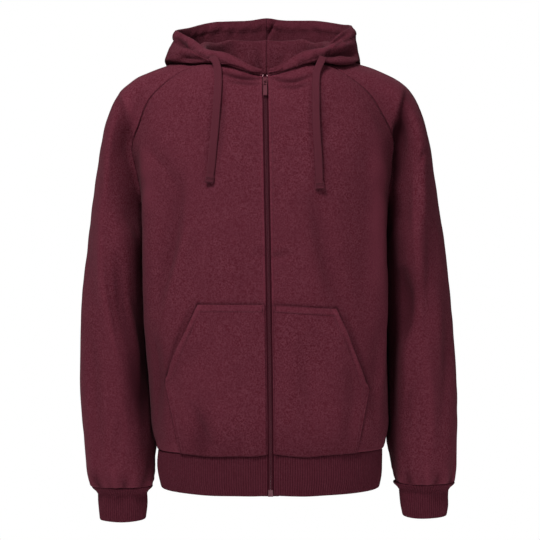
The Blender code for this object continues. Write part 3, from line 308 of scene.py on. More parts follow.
FOLDS = table(
    "x_top z_top x_low z_low width push face sleeve",
    (-238, -60, -262, -300, 16, -5.0, -1, 1),
    (-278, -150, -290, -420, 15, -4.0, -1, 1),
    (-252, -330, -262, -640, 16, -5.0, -1, 1),
    (-224, -420, -222, -660, 14, 4.0, -1, 1),
    (-288, -470, -276, -670, 13, -4.5, -1, 1),
    (-236, -60, -258, -330, 17, -5.0, 1, 1),
    (-286, -260, -262, -560, 16, -4.5, 1, 1),
    (-226, -380, -240, -650, 14, -4.0, 1, 1),
    (236, -62, 252, -300, 16, -5.0, -1, 1),
    (276, -140, 292, -400, 15, -4.0, -1, 1),
    (250, -350, 270, -640, 16, -5.0, -1, 1),
    (232, -440, 236, -650, 13, 4.0, -1, 1),
    (300, -430, 290, -660, 13, -4.5, -1, 1),
    (234, -60, 254, -320, 17, -5.0, 1, 1),
    (288, -280, 268, -560, 16, -4.5, 1, 1),
    (226, -400, 246, -650, 14, -4.0, 1, 1),
    (-196, -120, -150, -250, 18, -3.0, -1, 0),
    (184, -130, 146, -260, 18, -3.0, -1, 0),
    (-160, -470, -120, -620, 20, -4.0, -1, 0),
    (168, -500, 128, -620, 18, -3.5, -1, 0),
    (-60, -420, -40, -610, 22, -3.0, -1, 0),
    (70, -440, 56, -610, 22, -3.0, -1, 0),
    (-150, -110, -70, -330, 24, -5.0, 1, 0),
    (150, -120, 64, -340, 24, -5.0, 1, 0),
    (-120, -430, -50, -610, 24, -4.5, 1, 0),
    (110, -400, 60, -600, 24, -4.5, 1, 0),
    (0, -260, 6, -560, 30, -4.0, 1, 0),
)
HOOD_NAMES = (
    "place bearing crest_out crest_up inner_out inner_up "
    "low_out low_up outer_out outer_up rim_out rim_up"
)
HOOD = {
    -1: table(
        HOOD_NAMES,
        (0.00, 12, 1, 1.5, 2, 3, 3, 4.5, 3.5, 6.5, 3, 9),
        (0.17, 16, 2, 0.0, 5.5, -3.0, 9, -3.0, 9, 6, 5, 15),
        (0.34, 30, 9, 0, 20, -6, 31, -6, 30, 5, 18, 15),
        (0.46, 58, 5, 12, 24, -4, 48, -17, 54, -8, 28, 28),
        (0.58, 86, 4, 28, 28, 4, 66, -16, 70, -6, 54, 47),
        (0.72, 122, 5, 42, 30, 2, 62, -54, 75, -22, 76, 72),
        (0.86, 152, 7, 56, 34, -20, 60, -108, 90, -46, 80, 97),
        (1.00, 180, 8, 67, 36, -30, 62, -140, 92, -60, 72, 112),
    ),
    1: table(
        HOOD_NAMES,
        (0.00, 12, 1, 1.5, 2, 3, 3, 4.5, 3.5, 6.5, 3, 9),
        (0.17, 16, 2, 0.0, 5.5, -3.0, 9, -3.0, 9, 7, 5, 17),
        (0.34, 32, 9, 0, 20, -6, 31, -5, 31, 8, 20, 20),
        (0.46, 58, 5, 12, 24, -4, 48, -16, 55, -2, 32, 38),
        (0.58, 86, 4, 28, 28, 4, 61, -15, 63, -2, 48, 55),
        (0.72, 122, 5, 42, 30, 2, 60, -54, 70, -18, 72, 78),
        (0.86, 152, 7, 56, 34, -20, 60, -108, 90, -46, 80, 98),
        (1.00, 180, 8, 67, 36, -30, 62, -140, 92, -60, 72, 112),
    ),
}
POCKET = {
    -1: table("x z", (0, -394), (-108, -394), (-159, -510), (-163, -521), (-138, -634)),
    1: table("x z", (0, -394), (111, -401), (160, -521), (166, -532), (146, -631)),
}
CORD = {
    -1: table(
        "x z off",
        (-88, 5, 5.0),
        (-83, -1, 7.0),
        (-78.5, -14, 7.0),
        (-77, -32, 5.0),
        (-78, -60, 4.6),
        (-81, -105, 4.6),
        (-85, -150, 4.6),
        (-89, -188, 4.6),
        (-91, -201, 4.8),
    ),
    1: table(
        "x z off",
        (92, 6, 5.0),
        (88, -3, 7.0),
        (82, -18, 7.0),
        (80, -36, 5.0),
        (79.5, -62, 4.6),
        (80, -110, 4.6),
        (83, -160, 4.6),
        (84.5, -200, 4.6),
        (85, -211, 4.9),
    ),
}

# Creases of the finer sheet: three places in the front view, half widths on the left and right flank, push
# out of the cloth, which face (-1 front, 1 back) and which pieces (1 sleeves, 0 body)
CREASES = table(
    "x_top z_top x_mid z_mid x_low z_low left right push face sleeve",
    # left sleeve, front
    (-254, -30, -234, -82, -213, -168, 18, 3.4, -4.5, -1, 1),
    (-238, -46, -218, -90, -208, -120, 4, 10, 3.0, -1, 1),
    (-270, -200, -263, -380, -225, -555, 13, 5, 8.0, -1, 1),
    (-246, -310, -240, -390, -228, -470, 7, 8, -8.0, -1, 1),
    (-230, -380, -220, -455, -206, -550, 6, 6, 8.0, -1, 1),
    (-244, -470, -232, -530, -218, -610, 8, 8, -4.5, -1, 1),
    (-290, -420, -286, -540, -276, -665, 9, 12, -5.0, -1, 1),
    (-240, -570, -248, -620, -254, -670, 8, 9, -4.5, -1, 1),
    (-298, -150, -300, -260, -298, -360, 8, 10, -3.5, -1, 1),
    # right sleeve, front
    (235, -34, 215, -95, 203, -200, 3.4, 20, -13.0, -1, 1),
    (244, -150, 245, -260, 252, -370, 8, 12, 6.0, -1, 1),
    (268, -220, 268, -330, 262, -465, 10, 12, -5.5, -1, 1),
    (264, -140, 254, -156, 243, -172, 5, 5, -4.0, -1, 1),
    (240, -525, 236, -570, 230, -620, 8, 9, -6.0, -1, 1),
    (222, -330, 232, -395, 226, -460, 10, 12, -9.0, -1, 1),
    (262, -450, 272, -560, 268, -655, 10, 12, 5.0, -1, 1),
    (298, -350, 300, -470, 294, -600, 9, 10, -4.5, -1, 1),
    # body, front
    (195, -110, 194, -300, 188, -560, 26, 6, 9.5, -1, 0),
    (-203, -120, -201, -270, -197, -480, 7, 24, 7.5, -1, 0),
    (-136, -160, -152, -290, -182, -420, 17, 12, -9.0, -1, 0),
    (-122, -260, -150, -350, -166, -420, 9, 10, 3.5, -1, 0),
    (74, -215, 98, -330, 120, -410, 14, 17, -7.0, -1, 0),
    (-24, -311, 10, -319, 48, -311, 8, 8, -3.5, -1, 0),
    (-121, -548, -105, -585, -82, -638, 11, 9, -6.5, -1, 0),
    (-206, -128, -178, -158, -140, -215, 8, 12, -2.0, -1, 0),
    (192, -140, 168, -190, 146, -250, 17, 15, 2.6, -1, 0),
    (130, -440, 140, -540, 124, -635, 13, 11, -4.0, -1, 0),
    (-58, -430, -50, -510, -52, -610, 16, 15, 3.0, -1, 0),
    (56, -440, 68, -520, 76, -610, 14, 16, -3.5, -1, 0),
    (-190, -420, -178, -500, -184, -615, 8, 12, -5.0, -1, 0),
    (184, -400, 178, -500, 176, -615, 12, 8, -4.5, -1, 0),
    (-110, -56, -96, -130, -106, -230, 15, 13, -2.6, -1, 0),
    (112, -52, 98, -140, 106, -240, 13, 15, -2.6, -1, 0),
    (-80, -18, -42, -28, -4, -31, 3.8, 3.8, -3.4, -1, 0),
    (-66, -34, -38, -38, -6, -40, 3.4, 3.4, -2.0, -1, 0),
    (8, -31, 42, -35, 80, -22, 3.8, 3.8, -3.4, -1, 0),
    (16, -44, 46, -46, 74, -38, 3.4, 3.4, -2.6, -1, 0),
    # sleeves, back
    (-262, -150, -258, -320, -246, -520, 12, 9, 6.0, 1, 1),
    (-236, -300, -232, -430, -222, -600, 8, 10, -6.0, 1, 1),
    (-284, -240, -276, -360, -260, -430, 9, 12, -5.0, 1, 1),
    (-248, -80, -236, -130, -218, -185, 22, 5, -5.5, 1, 1),
    (-262, -500, -270, -580, -276, -670, 10, 10, -4.0, 1, 1),
    (264, -150, 262, -320, 252, -520, 9, 12, 6.0, 1, 1),
    (240, -320, 236, -440, 228, -600, 10, 8, -6.0, 1, 1),
    (286, -250, 280, -360, 266, -450, 12, 9, -5.0, 1, 1),
    (246, -80, 234, -130, 218, -190, 5, 22, -5.5, 1, 1),
    (266, -500, 276, -580, 280, -660, 10, 10, -4.0, 1, 1),
    # back
    (-196, -205, -150, -262, -86, -290, 13, 10, -6.0, 1, 0),
    (190, -210, 146, -276, 82, -300, 10, 13, -6.0, 1, 0),
    (-176, -330, -130, -372, -60, -392, 14, 11, -4.0, 1, 0),
    (168, -350, 130, -386, 70, -402, 12, 14, -4.0, 1, 0),
    (-60, -400, -40, -490, -34, -610, 16, 12, -4.5, 1, 0),
    (90, -430, 84, -520, 100, -620, 14, 16, 4.0, 1, 0),
    (-130, -470, -122, -550, -128, -620, 12, 15, 4.0, 1, 0),
    (20, -60, 4, -150, 12, -260, 18, 18, -3.0, 1, 0),
)

# Places where shade is painted darker or, above 0, light is painted lighter, in the same columns; push is how
# much
SHADES = table(
    "x_top z_top x_mid z_mid x_low z_low left right push face sleeve",
    (-254, -30, -234, -82, -213, -168, 12, 3.0, -0.18, -1, 1),
    (-236, -48, -220, -92, -205, -138, 4, 14, 0.60, -1, 1),
    (-212, -120, -204, -300, -200, -520, 24, 12, -0.28, -1, 1),
    (-206, -420, -202, -560, -194, -700, 24, 12, -0.60, -1, 1),
    (-240, -290, -232, -385, -222, -470, 14, 18, -0.30, -1, 1),
    (235, -34, 214, -98, 203, -210, 2.8, 13, -0.85, -1, 1),
    (210, -90, 203, -330, 206, -680, 10, 21, -1.40, -1, 1),
    (180, -104, 181, -230, 174, -380, 14, 10, 1.00, -1, 0),
    (-205, -136, -199, -180, -195, -250, 5, 14, 0.95, -1, 0),
    (-214, -372, -214, -480, -202, -600, 20, 14, -1.00, -1, 1),
    (262, -120, 262, -250, 256, -420, 36, 34, -0.16, -1, 1),
    (222, -320, 233, -395, 226, -470, 12, 12, -0.40, -1, 1),
    (-192, -440, -172, -540, -164, -634, 18, 22, -0.34, -1, 0),
    (-68, -16, -70, -105, -81, -196, 3.4, 4.6, -0.50, -1, 0),
    (-86, -18, -90, -110, -99, -198, 3.0, 2.6, -0.30, -1, 0),
    (91, -18, 89, -112, 94, -206, 3.4, 4.6, -0.50, -1, 0),
    (72, -18, 70, -112, 75, -206, 3.0, 2.6, -0.34, -1, 0),
    (-80, -18, -42, -28, -4, -31, 3.4, 3.4, -1.20, -1, 0),
    (-66, -34, -38, -38, -6, -40, 3.4, 3.4, -0.60, -1, 0),
    (8, -31, 42, -35, 80, -22, 3.4, 3.4, -1.10, -1, 0),
    (16, -44, 46, -46, 74, -38, 3.4, 3.4, -0.60, -1, 0),
    (-116, -386, -143, -450, -168, -524, 3.4, 3.4, -0.60, -1, 0),
    (119, -394, 144, -458, 170, -536, 3.4, 3.4, -0.60, -1, 0),
)

# What one full fleck in the yarn adds to red, green and blue
FLECK_STEP = (0.150, 0.062, 0.082)

# Local moves: middle of the place in the front view, its size, the move, which side in depth (-1 front,
# 1 back, 0 both), and which pieces (0 body or hood, 1 sleeves, 2 both)
BENDS = table(
    "x z size dx dy dz face sleeve",
    (-217, -100, 30, 8, -3, 0, -1, 2),
    (205, -96, 26, -3, -2, 0, -1, 2),
    (158, -44, 34, 6, 0, 0, -1, 2),
    (-215, -164, 20, 4, 0, 0, -1, 2),
    (-210, -200, 26, 6, 0, 0, -1, 2),
    (206, -205, 30, -5, 0, 0, -1, 2),
    (203, -154, 19, -5, 0, 0, -1, 2),
    (-214, -275, 28, 5, 0, 0, 1, 1),
    (212, -272, 28, -8, 0, 0, 1, 1),
)
HOOD_BENDS = table(
    "x z size dx dy dz face sleeve",
    (-160, 4, 17, -8, 0, 0, 0, 0),
    (-146, 39, 9, 4, 0, 0, 0, 0),
    (-152, 60, 9, -2, 0, 1, 0, 0),
    (146, 24, 13, -9, 0, 0, 0, 0),
    (156, 2, 9, 5, 0, 0, 0, 0),
    (147, 60, 9, 3, 0, 2, 0, 0),
    (-100, 104, 40, 0, 0, 2.5, 1, 0),
    (90, 104, 40, 0, 0, 2.5, 1, 0),
)

# Creases of the hood, as on the body; the last column tells the part: 0 flank, 1 inside of the rim, 2 neck
HOOD_CREASES = table(
    "x_top z_top x_mid z_mid x_low z_low left right push part",
    (154, 22, 120, 14, 84, 6, 5, 5, -11.0, 0),
    (150, 38, 116, 25, 92, 15, 6, 6, 5.0, 0),
    (140, 56, 112, 36, 86, 20, 4, 4, -5.0, 0),
    (162, 6, 124, 2, 92, -4, 6, 5, 6.0, 0),
    (-154, 50, -142, 40, -124, 26, 5, 5, -8.0, 0),
    (-152, 24, -120, 15, -94, 4, 6, 7, 4.5, 0),
    (-146, 9, -120, 6, -94, 1, 5, 6, -5.0, 0),
    (-138, 32, -122, 24, -108, 12, 4, 5, -4.0, 0),
    (-112, 106, -106, 98, -98, 88, 4, 5, 2.6, 1),
    (-82, 108, -76, 99, -70, 88, 4, 4, 2.2, 1),
    (-126, 98, -118, 90, -112, 82, 4, 4, 2.0, 1),
    (-44, 110, -40, 100, -36, 92, 4, 4, 1.6, 1),
    (20, 110, 6, 86, -6, 62, 4, 5, 5.0, 1),
    (30, 106, 18, 92, 6, 72, 4, 4, -4.0, 1),
    (62, 104, 66, 96, 68, 84, 5, 4, 1.6, 1),
    (104, 100, 98, 92, 94, 80, 4, 4, 1.6, 1),
    (-66, 56, -50, 40, -38, 10, 8, 9, 4.5, 2),
    (-30, 54, -20, 30, -18, -8, 7, 8, -4.0, 2),
    (40, 52, 30, 26, 20, -6, 8, 7, 4.5, 2),
    (74, 50, 56, 30, 44, 8, 9, 8, 4.5, 2),
)

# Gathers above a cuff: turn round the sleeve in degrees, half width, height, push
GATHERS = table(
    "turn width height push",
    (205, 7, 38, 1.9),
    (226, 6, 52, -1.8),
    (243, 5, 30, 1.7),
    (262, 6, 60, 2.2),
    (280, 5, 34, -1.8),
    (297, 6, 46, 1.9),
    (318, 7, 34, -1.7),
    (338, 8, 42, 1.7),
    (15, 9, 40, -1.7),
    (48, 8, 50, 2.0),
    (70, 6, 34, -1.8),
    (92, 6, 56, 2.0),
    (116, 7, 36, -1.8),
    (140, 7, 46, 1.8),
    (168, 9, 36, -1.7),
)


def each(rows):
    """The rows of a table one by one, with their columns by name."""
    return [SimpleNamespace(**dict(zip(rows, line))) for line in zip(*rows.values())]


def curve(keys, values, places):
    """A smooth curve through a table's values, read at the given places."""
    keys, values, places = (np.asarray(item, dtype=float) for item in (keys, values, places))
    slopes = np.gradient(values, keys, axis=0)
    left = np.clip(np.searchsorted(keys, places, side="right") - 1, 0, len(keys) - 2)
    span = keys[left + 1] - keys[left]
    part = (places - keys[left]) / span
    if values.ndim > 1:
        span, part = span[..., None], part[..., None]
    start = 2 * part**3 - 3 * part**2 + 1
    start_slope = (part**3 - 2 * part**2 + part) * span
    end = 3 * part**2 - 2 * part**3
    end_slope = (part**3 - part**2) * span
    smooth = start * values[left] + start_slope * slopes[left]
    return smooth + end * values[left + 1] + end_slope * slopes[left + 1]


def read(rows, column, place):
    """One column of a table, read smoothly at a place of its first column."""
    keys = next(iter(rows.values()))
    return float(curve(keys, rows[column], np.clip(place, keys.min(), keys.max())))


def reads(rows, columns, place):
    return [read(rows, column, place) for column in columns.split()]


def lengths(points):
    """Distance along a run of points."""
    return np.concatenate([[0.0], np.cumsum(np.linalg.norm(np.diff(points, axis=0), axis=1))])


def sample(places, keys, points):
    """Points of a run read at places between its keys, in straight lines."""
    return np.stack([np.interp(places, keys, points[:, axis]) for axis in range(3)], axis=-1)


def spread(points, count):
    """The same run with count equal steps."""
    along = lengths(points)
    return sample(np.linspace(0, along[-1], count + 1), along, points)


def smooth_run(points, count=80):
    """A smooth run through a few points."""
    points = np.asarray(points, dtype=float)
    along = lengths(points)
    return curve(along, points, np.linspace(0, along[-1], count + 1))


def unit(vectors):
    """Vectors of length one."""
    return vectors / np.maximum(np.linalg.norm(vectors, axis=-1, keepdims=True), 1e-12)


def ease(value):
    """A smooth step from 0 to 1."""
    value = np.clip(value, 0, 1)
    return value * value * (3 - 2 * value)


def bell(away, width):
    """1 at a place, and fading to nothing about two widths away from it."""
    return np.exp(-((away / width) ** 2))


def rounded(angle, power):
    """Cosine and sine of an angle, raised to a power that makes the circle a rounded box."""
    return [np.sign(value) * np.abs(value) ** power for value in (np.cos(angle), np.sin(angle))]


def quarter(middle, side, square, turn):
    """A quarter of the torso outline, flat across the middle and rounded into the side."""
    middle, side = np.array(middle), np.array(side)
    angle = np.linspace(0, math.radians(turn), QUARTER_STEPS + 1)
    power = 2 / square
    across = np.sin(angle) ** power
    depth = 1 - np.clip(np.cos(angle), 0, 1) ** power
    across = across / across[-1]
    depth = depth / depth[-1]
    return middle + (side - middle) * np.stack([across, depth, ease(across)], axis=1)


def zip_x(height):
    return read(ZIP_LINE, "across", height)


def torso_half(rows, side, height, back):
    """Half an outline at one height, from the middle of the front or back to the side."""
    edge, front, rear, square = reads(rows, SIDES[side] + " front back square", height)
    start = (0.0, rear, height) if back else (zip_x(height) + side * ZIP_HALF, -front, height)
    return quarter(start, (side * edge, SIDE_DEPTH, height), square, 90)


def raglan_point(side, up, back):
    """A place on the raglan seam, between the underarm and the neck."""
    if not back:
        return np.array(reads(FRONT_SEAM, SIDES[side] + " depth height", up))
    across, depth, height = reads(BACK_SEAM, "across depth height", up)
    return np.array([side * across, depth, height])


def yoke_half(side, up, back):
    """Half an outline above the underarm, from the middle to the raglan seam."""
    face = "back" if back else "front"
    depth, height = reads(MIDDLE, f"{face}_depth {face}_height", up)
    start = (0.0 if back else zip_x(height) + side * ZIP_HALF, depth, height)
    turn = read(BACK_SEAM if back else FRONT_SEAM, "turn", up)
    return quarter(start, raglan_point(side, up, back), 2.0 + 0.5 * (1 - up), turn)


def shoulder_row(side, up):
    """A row of the sleeve above the underarm, from the front seam over the shoulder to the back seam."""
    front, back = (raglan_point(side, up, face) for face in (False, True))
    name = SIDES[side]
    across, height, fore, aft = reads(SHOULDER, f"{name} {name}_height fore aft", up)
    crest = np.array([across, 0.5 * (fore + aft), height])
    share = 0.62 - 0.12 * up
    run = [front, front + (crest - front) * share, crest, back + (crest - back) * share, back]
    run[1][1] = fore
    run[3][1] = aft
    return spread(smooth_run(run), SLEEVE_COLUMNS)


def sleeve_ring(side, height):
    """A ring of the sleeve below the underarm, starting on the side next to the body."""
    outer, inner, fore, aft = reads(SLEEVE[side], "outer inner fore aft", height)
    angle = np.linspace(0, 2 * math.pi, 6 * SLEEVE_COLUMNS + 1)
    across, depth = rounded(angle, 2 / SLEEVE_SQUARE)
    x = 0.5 * (outer + inner) + 0.5 * (inner - outer) * across
    y = 0.5 * (fore + aft) - 0.5 * (aft - fore) * depth
    # next to the body the front rolls back into shade
    edge = read(TORSO if height > HEM_SEAM else HEM, SIDES[side], height)
    near = np.clip((np.abs(x) - abs(edge)) / read(INSIDE, SIDES[side], height), 0, 1)
    back = ROLL_BACK - ROLL_DEPTH * np.sin(0.5 * math.pi * near ** ROLL_POWER[side])
    rolled = 0.5 * (y + back + np.hypot(y - back, ROLL_SOFT))
    rolled = np.where(depth > 0, np.minimum(rolled, np.maximum(y, ROLL_BACK)), y)
    y = y + (rolled - y) * ease((ROLL_TOP - height) / ROLL_FADE)
    return spread(np.stack([x, y, np.full_like(angle, height)], axis=1), SLEEVE_COLUMNS)


class Coarse:
    """The coarse sheet of joined quads that the frame's solids are cut from."""

    def __init__(self):
        self.points = []
        self.quads = []
        self.names = []

    def add(self, run):
        """Adds a run of points and returns their numbers."""
        first = len(self.points)
        self.points.extend(np.array(point, dtype=float) for point in run)
        return list(range(first, len(self.points)))

    def add_grid(self, index, name, flip):
        for lower, upper in zip(index[:-1], index[1:]):
            for place in range(len(lower) - 1):
                quad = (lower[place], lower[place + 1], upper[place + 1], upper[place])
                self.quads.append((quad[0], *quad[:0:-1]) if flip else quad)
                self.names.append(name)

    def owners(self):
        """Names of the pieces that each point belongs to."""
        owner = {}
        for quad, name in zip(self.quads, self.names):
            for number in quad:
                owner.setdefault(number, set()).add(name.split("_")[0])
        return owner

    def normals(self):
        """Outward direction at every point, halfway between body and sleeve where they are joined."""
        points = np.array(self.points)
        quads = np.array(self.quads)
        corner = points[quads]
        facing = np.cross(corner[:, 2] - corner[:, 0], corner[:, 3] - corner[:, 1])
        on_sleeve = np.array([name.startswith("sleeve") for name in self.names])
        total = np.zeros_like(points)
        for group in (on_sleeve, ~on_sleeve):
            part = np.zeros_like(points)
            for place in range(4):
                np.add.at(part, quads[group][:, place], facing[group])
            total += unit(part)
        return unit(total)

    def relax(self, passes):
        """Evens out the sheet without drawing it in; its open edges stay."""
        near = [set() for _ in self.points]
        count = {}
        for quad in self.quads:
            for place in range(4):
                near[quad[place]].add(quad[place - 1])
                near[quad[place - 1]].add(quad[place])
                edge = frozenset((quad[place], quad[place - 1]))
                count[edge] = count.get(edge, 0) + 1
        fixed = {number for edge, used in count.items() if used == 1 for number in edge}
        near = [list(group) for group in near]
        points = np.array(self.points)
        free = [number for number in range(len(points)) if number not in fixed]
        for _ in range(passes):
            for strength in (0.5, -0.52):
                middle = np.array([points[near[number]].mean(axis=0) for number in free])
                points[free] += strength * (middle - points[free])
        self.points = points


def fold_push(cloth):
    """Moves the coarse sheet in and out along its soft folds."""
    points = cloth.points
    facing = cloth.normals()
    owners = cloth.owners()
    on_sleeve = np.array([owners[number] == {"sleeve"} for number in range(len(points))])
    for fold in each(FOLDS):
        top = np.array([fold.x_top, fold.z_top])
        line = np.array([fold.x_low, fold.z_low]) - top
        flat = points[:, [0, 2]] - top
        along = flat @ line / line.dot(line)
        near = np.linalg.norm(flat - np.outer(np.clip(along, 0, 1), line), axis=1)
        fade = np.clip(1 - np.abs(2 * along - 1), 0, 1)
        strength = np.sin(0.5 * math.pi * np.sqrt(fade)) * bell(near, fold.width)
        strength *= np.clip(facing[:, 1] * fold.face * 2.0, 0, 1)
        strength *= on_sleeve if fold.sleeve else ~on_sleeve
        points += facing * (strength * fold.push)[:, None]


def build_shell():
    """Torso and sleeves as one coarse sheet, with the point numbers of every panel's grid."""
    cloth = Coarse()
    levels = np.linspace(0, 1, BODY_ROWS + 1)
    levels = HEM_SEAM + (UNDERARM - HEM_SEAM) * (0.35 * levels**2 + 0.65 * levels)
    ups = np.linspace(0, 1, YOKE_ROWS + 1)[1:]
    middle = cloth.add((0.0, read(TORSO, "back", height), height) for height in levels)
    middle += cloth.add((0.0, *reads(MIDDLE, "back_depth back_height", up)) for up in ups)
    grids = {}
    for side, name in SIDES.items():
        rows = {"front": [], "back": [], "sleeve": []}
        for centre, height in zip(middle, levels):
            front = cloth.add(spread(torso_half(TORSO, side, height, False), FRONT_COLUMNS))
            run = spread(torso_half(TORSO, side, height, True), BACK_COLUMNS)
            back = [centre] + cloth.add(run[1:-1]) + front[-1:]
            rows["front"].append(front)
            rows["back"].append(back[::-1])
        rows["sleeve"].append(front[-1:] + cloth.add(shoulder_row(side, 0.0)[1:-1]) + front[-1:])
        for centre, up in zip(middle[len(levels):], ups):
            front = cloth.add(spread(yoke_half(side, up, False), FRONT_COLUMNS))
            back = [centre] + cloth.add(spread(yoke_half(side, up, True), BACK_COLUMNS)[1:])
            rows["front"].append(front)
            rows["back"].append(back[::-1])
            rows["sleeve"].append(front[-1:] + cloth.add(shoulder_row(side, up)[1:-1]) + back[-1:])
        heights = SLEEVE[side]["height"]
        for drop in ARM_DROPS:
            ring = cloth.add(sleeve_ring(side, heights.max() + (heights.min() - heights.max()) * drop)[:-1])
            rows["sleeve"].insert(0, ring + ring[:1])
        for face, grid in rows.items():
            cloth.add_grid(grid, face if face == "back" else face + "_" + name, side < 0)
            grids[face, side] = grid
        grids["neck", side] = rows["front"][-1] + rows["sleeve"][-1][1:] + rows["back"][-1][1:]
    cloth.relax(6)
    gather_cuffs(cloth)
    fold_push(cloth)
    part_arms(cloth)
    return cloth, grids


def gather_cuffs(cloth):
    """Small gathers of the coarse sheet that fade out above each cuff."""
    facing = cloth.normals()
    for number, names in cloth.owners().items():
        x, y, z = cloth.points[number]
        rows = SLEEVE[-1 if x < 0 else 1]
        above = z - rows["height"].min()
        if "sleeve" not in names or not 2 <= above <= GATHER_REACH:
            continue
        angle = math.atan2(y - GATHER_MIDDLE, x - 0.5 * sum(reads(rows, "outer inner", z)))
        fade = math.sin(math.pi * min(above / 34, 1) * 0.5) * (1 - above / GATHER_REACH)
        wave = math.cos(8 * angle + 0.8) + 0.35 * math.cos(5 * angle)
        cloth.points[number] += facing[number] * GATHER_PUSH * fade * wave


def part_arms(cloth):
    """Keeps each sleeve just clear of the side of the body."""
    for number, names in cloth.owners().items():
        x, y, z = cloth.points[number]
        if names != {"sleeve"} or z > UNDERARM - 6:
            continue
        side = -1 if x < 0 else 1
        face = "front" if y < SIDE_DEPTH else "back"
        edge, deep = reads(TORSO if z > HEM_SEAM else HEM, SIDES[side] + " " + face, z)
        reach = min(abs(y - SIDE_DEPTH) / (deep + SIDE_DEPTH), 1.0)
        wedge = UNDERARM_WEDGE * bell(z - UNDERARM + 32, 34) * bell(y - SIDE_DEPTH, 34)
        limit = edge * (1 - reach**2.5) ** 0.4 + CLOTH + SLEEVE_CLEAR + wedge
        if abs(x) < limit:
            cloth.points[number][0] = side * limit


def build_hood(neck):
    """Both hood pieces as one coarse sheet, from the neck seam over the folds to the rim."""
    cloth = Coarse()
    grids = {}
    centre = None
    for side, name in SIDES.items():
        columns = []
        for place, seam in enumerate(spread(neck[side], HOOD_COLUMNS)):
            part = place / HOOD_COLUMNS
            base = seam + [0, 0, 0.4]
            bearing = math.radians(read(HOOD[side], "bearing", part))
            line = [base]
            for fold in ("crest", "inner", "low", "outer", "rim"):
                out, up = reads(HOOD[side], f"{fold}_out {fold}_up", part)
                line.append(base + [side * out * math.sin(bearing), -out * math.cos(bearing), up])
            run = smooth_run(line, 120)
            along = lengths(run)
            casing = min(CASING_WIDTH, 0.5 * along[-1])
            body = along[-1] - casing
            steps = np.concatenate([np.linspace(0, body, HOOD_ROWS - 1), [body + 0.5 * casing, along[-1]]])
            column = sample(steps, along, run)
            if place < HOOD_COLUMNS:
                columns.append(cloth.add(column))
            else:
                centre = centre or cloth.add(column * [0, 1, 1])
                columns.append(centre)
        grids[side] = [list(row) for row in zip(*columns)]
        cloth.add_grid(grids[side], "hood_" + name, side < 0)
    return cloth, grids


def keep_off(cloth, tree, gap, fixed):
    """Moves a sheet off a surface wherever a point, or the middle of an edge, comes nearer than gap."""
    points = np.array(cloth.points)
    spans = {frozenset((quad[place], quad[place - 2 + lean])) for quad in cloth.quads
             for place in range(4) for lean in (0, 1)}
    spans = [tuple(span) for span in spans] + [(number, number) for number in range(len(points))]
    for _ in range(3):
        push = {}
        for one, two in spans:
            middle = Vector(0.5 * (points[one] + points[two]))
            spot, facing, _, distance = tree.find_nearest(middle)
            away = (middle - spot).dot(facing)
            if away >= gap or distance > KEEP_REACH:
                continue
            need = np.array(facing) * (gap - away)
            for number in (one, two):
                if number not in push or np.linalg.norm(push[number]) < np.linalg.norm(need):
                    push[number] = need
        for number, need in push.items():
            if number not in fixed:
                points[number] += need
    cloth.points = points


def sheet_tree(cloth):
    return BVHTree.FromPolygons([tuple(point) for point in cloth.points], cloth.quads)


# ---------------------------------------------------------------- the fine sheet


def stops(cells, steps, start=True, end=True):
    """Places along so many cells in even steps, closer together next to a seam."""
    near = np.array([0.22, 0.5, 1.5]) / steps
    places = [np.linspace(0, cells, cells * steps + 1)]
    if start:
        places.append(near)
    if end:
        places.append(cells - near)
    return np.unique(np.round(np.concatenate(places), 6))


def refine(coarse, rows, columns):
    """A grid of coarse points read smoothly at fine rows and columns."""
    height, width, _ = coarse.shape
    tall = curve(np.arange(height), coarse.reshape(height, -1), rows).reshape(len(rows), width, 3)
    wide = curve(np.arange(width), tall.transpose(1, 0, 2).reshape(width, -1), columns)
    return wide.reshape(len(columns), len(rows), 3).transpose(1, 0, 2)


def draw_to(grid, rows, place, wanted, reach=6):
    """Moves an edge column to wanted points, and its neighbours with it, less and less."""
    shift = wanted - grid[rows, place]
    step = 1 if place == 0 else -1
    for count in range(reach):
        grid[rows, place + step * count] += shift * (1 - count / reach)


def grid_quads(height, width):
    """The numbers of a grid's points, and the corners of its cells."""
    index = np.arange(height * width).reshape(height, width)
    quads = np.stack([index[:-1, :-1], index[:-1, 1:], index[1:, 1:], index[1:, :-1]], axis=-1)
    return index, quads.reshape(-1, 4)


def grid_tree(points):
    return BVHTree.FromPolygons(points.reshape(-1, 3).tolist(), grid_quads(*points.shape[:2])[1].tolist())


def grid_lengths(points):
    """Distances over a grid, along its rows and along its columns."""
    steps = [np.linalg.norm(np.diff(points, axis=axis), axis=2) for axis in (1, 0)]
    return [np.insert(np.cumsum(step, axis=axis), 0, 0, axis=axis) for step, axis in zip(steps, (1, 0))]


def grid_normals(points, flip):
    """Facing of every point of a grid, from the quads round it."""
    facing = np.cross(points[1:, 1:] - points[:-1, :-1], points[1:, :-1] - points[:-1, 1:])
    if flip:
        facing = -facing
    total = np.zeros_like(points)
    for rows in (slice(None, -1), slice(1, None)):
        for columns in (slice(None, -1), slice(1, None)):
            total[rows, columns] += facing
    return total


class Panel:
    """One cut piece: a fine grid of points, its facing, and distances from its four edges."""

    def __init__(self, name, points, flip, under=0):
        self.name = name
        self.sleeve = name.startswith("sleeve")
        self.points = points
        self.flip = flip
        self.under = under
        self.facing = unit(grid_normals(points, flip))
        self.measure()

    def raised(self, push):
        """The points moved out along their facing."""
        return self.points + self.facing * push[..., None]

    def measure(self):
        self.across, self.along = grid_lengths(self.points)
        self.left = self.across
        self.right = self.across[:, -1:] - self.across
        self.low = self.along
        self.top = self.along[-1:] - self.along


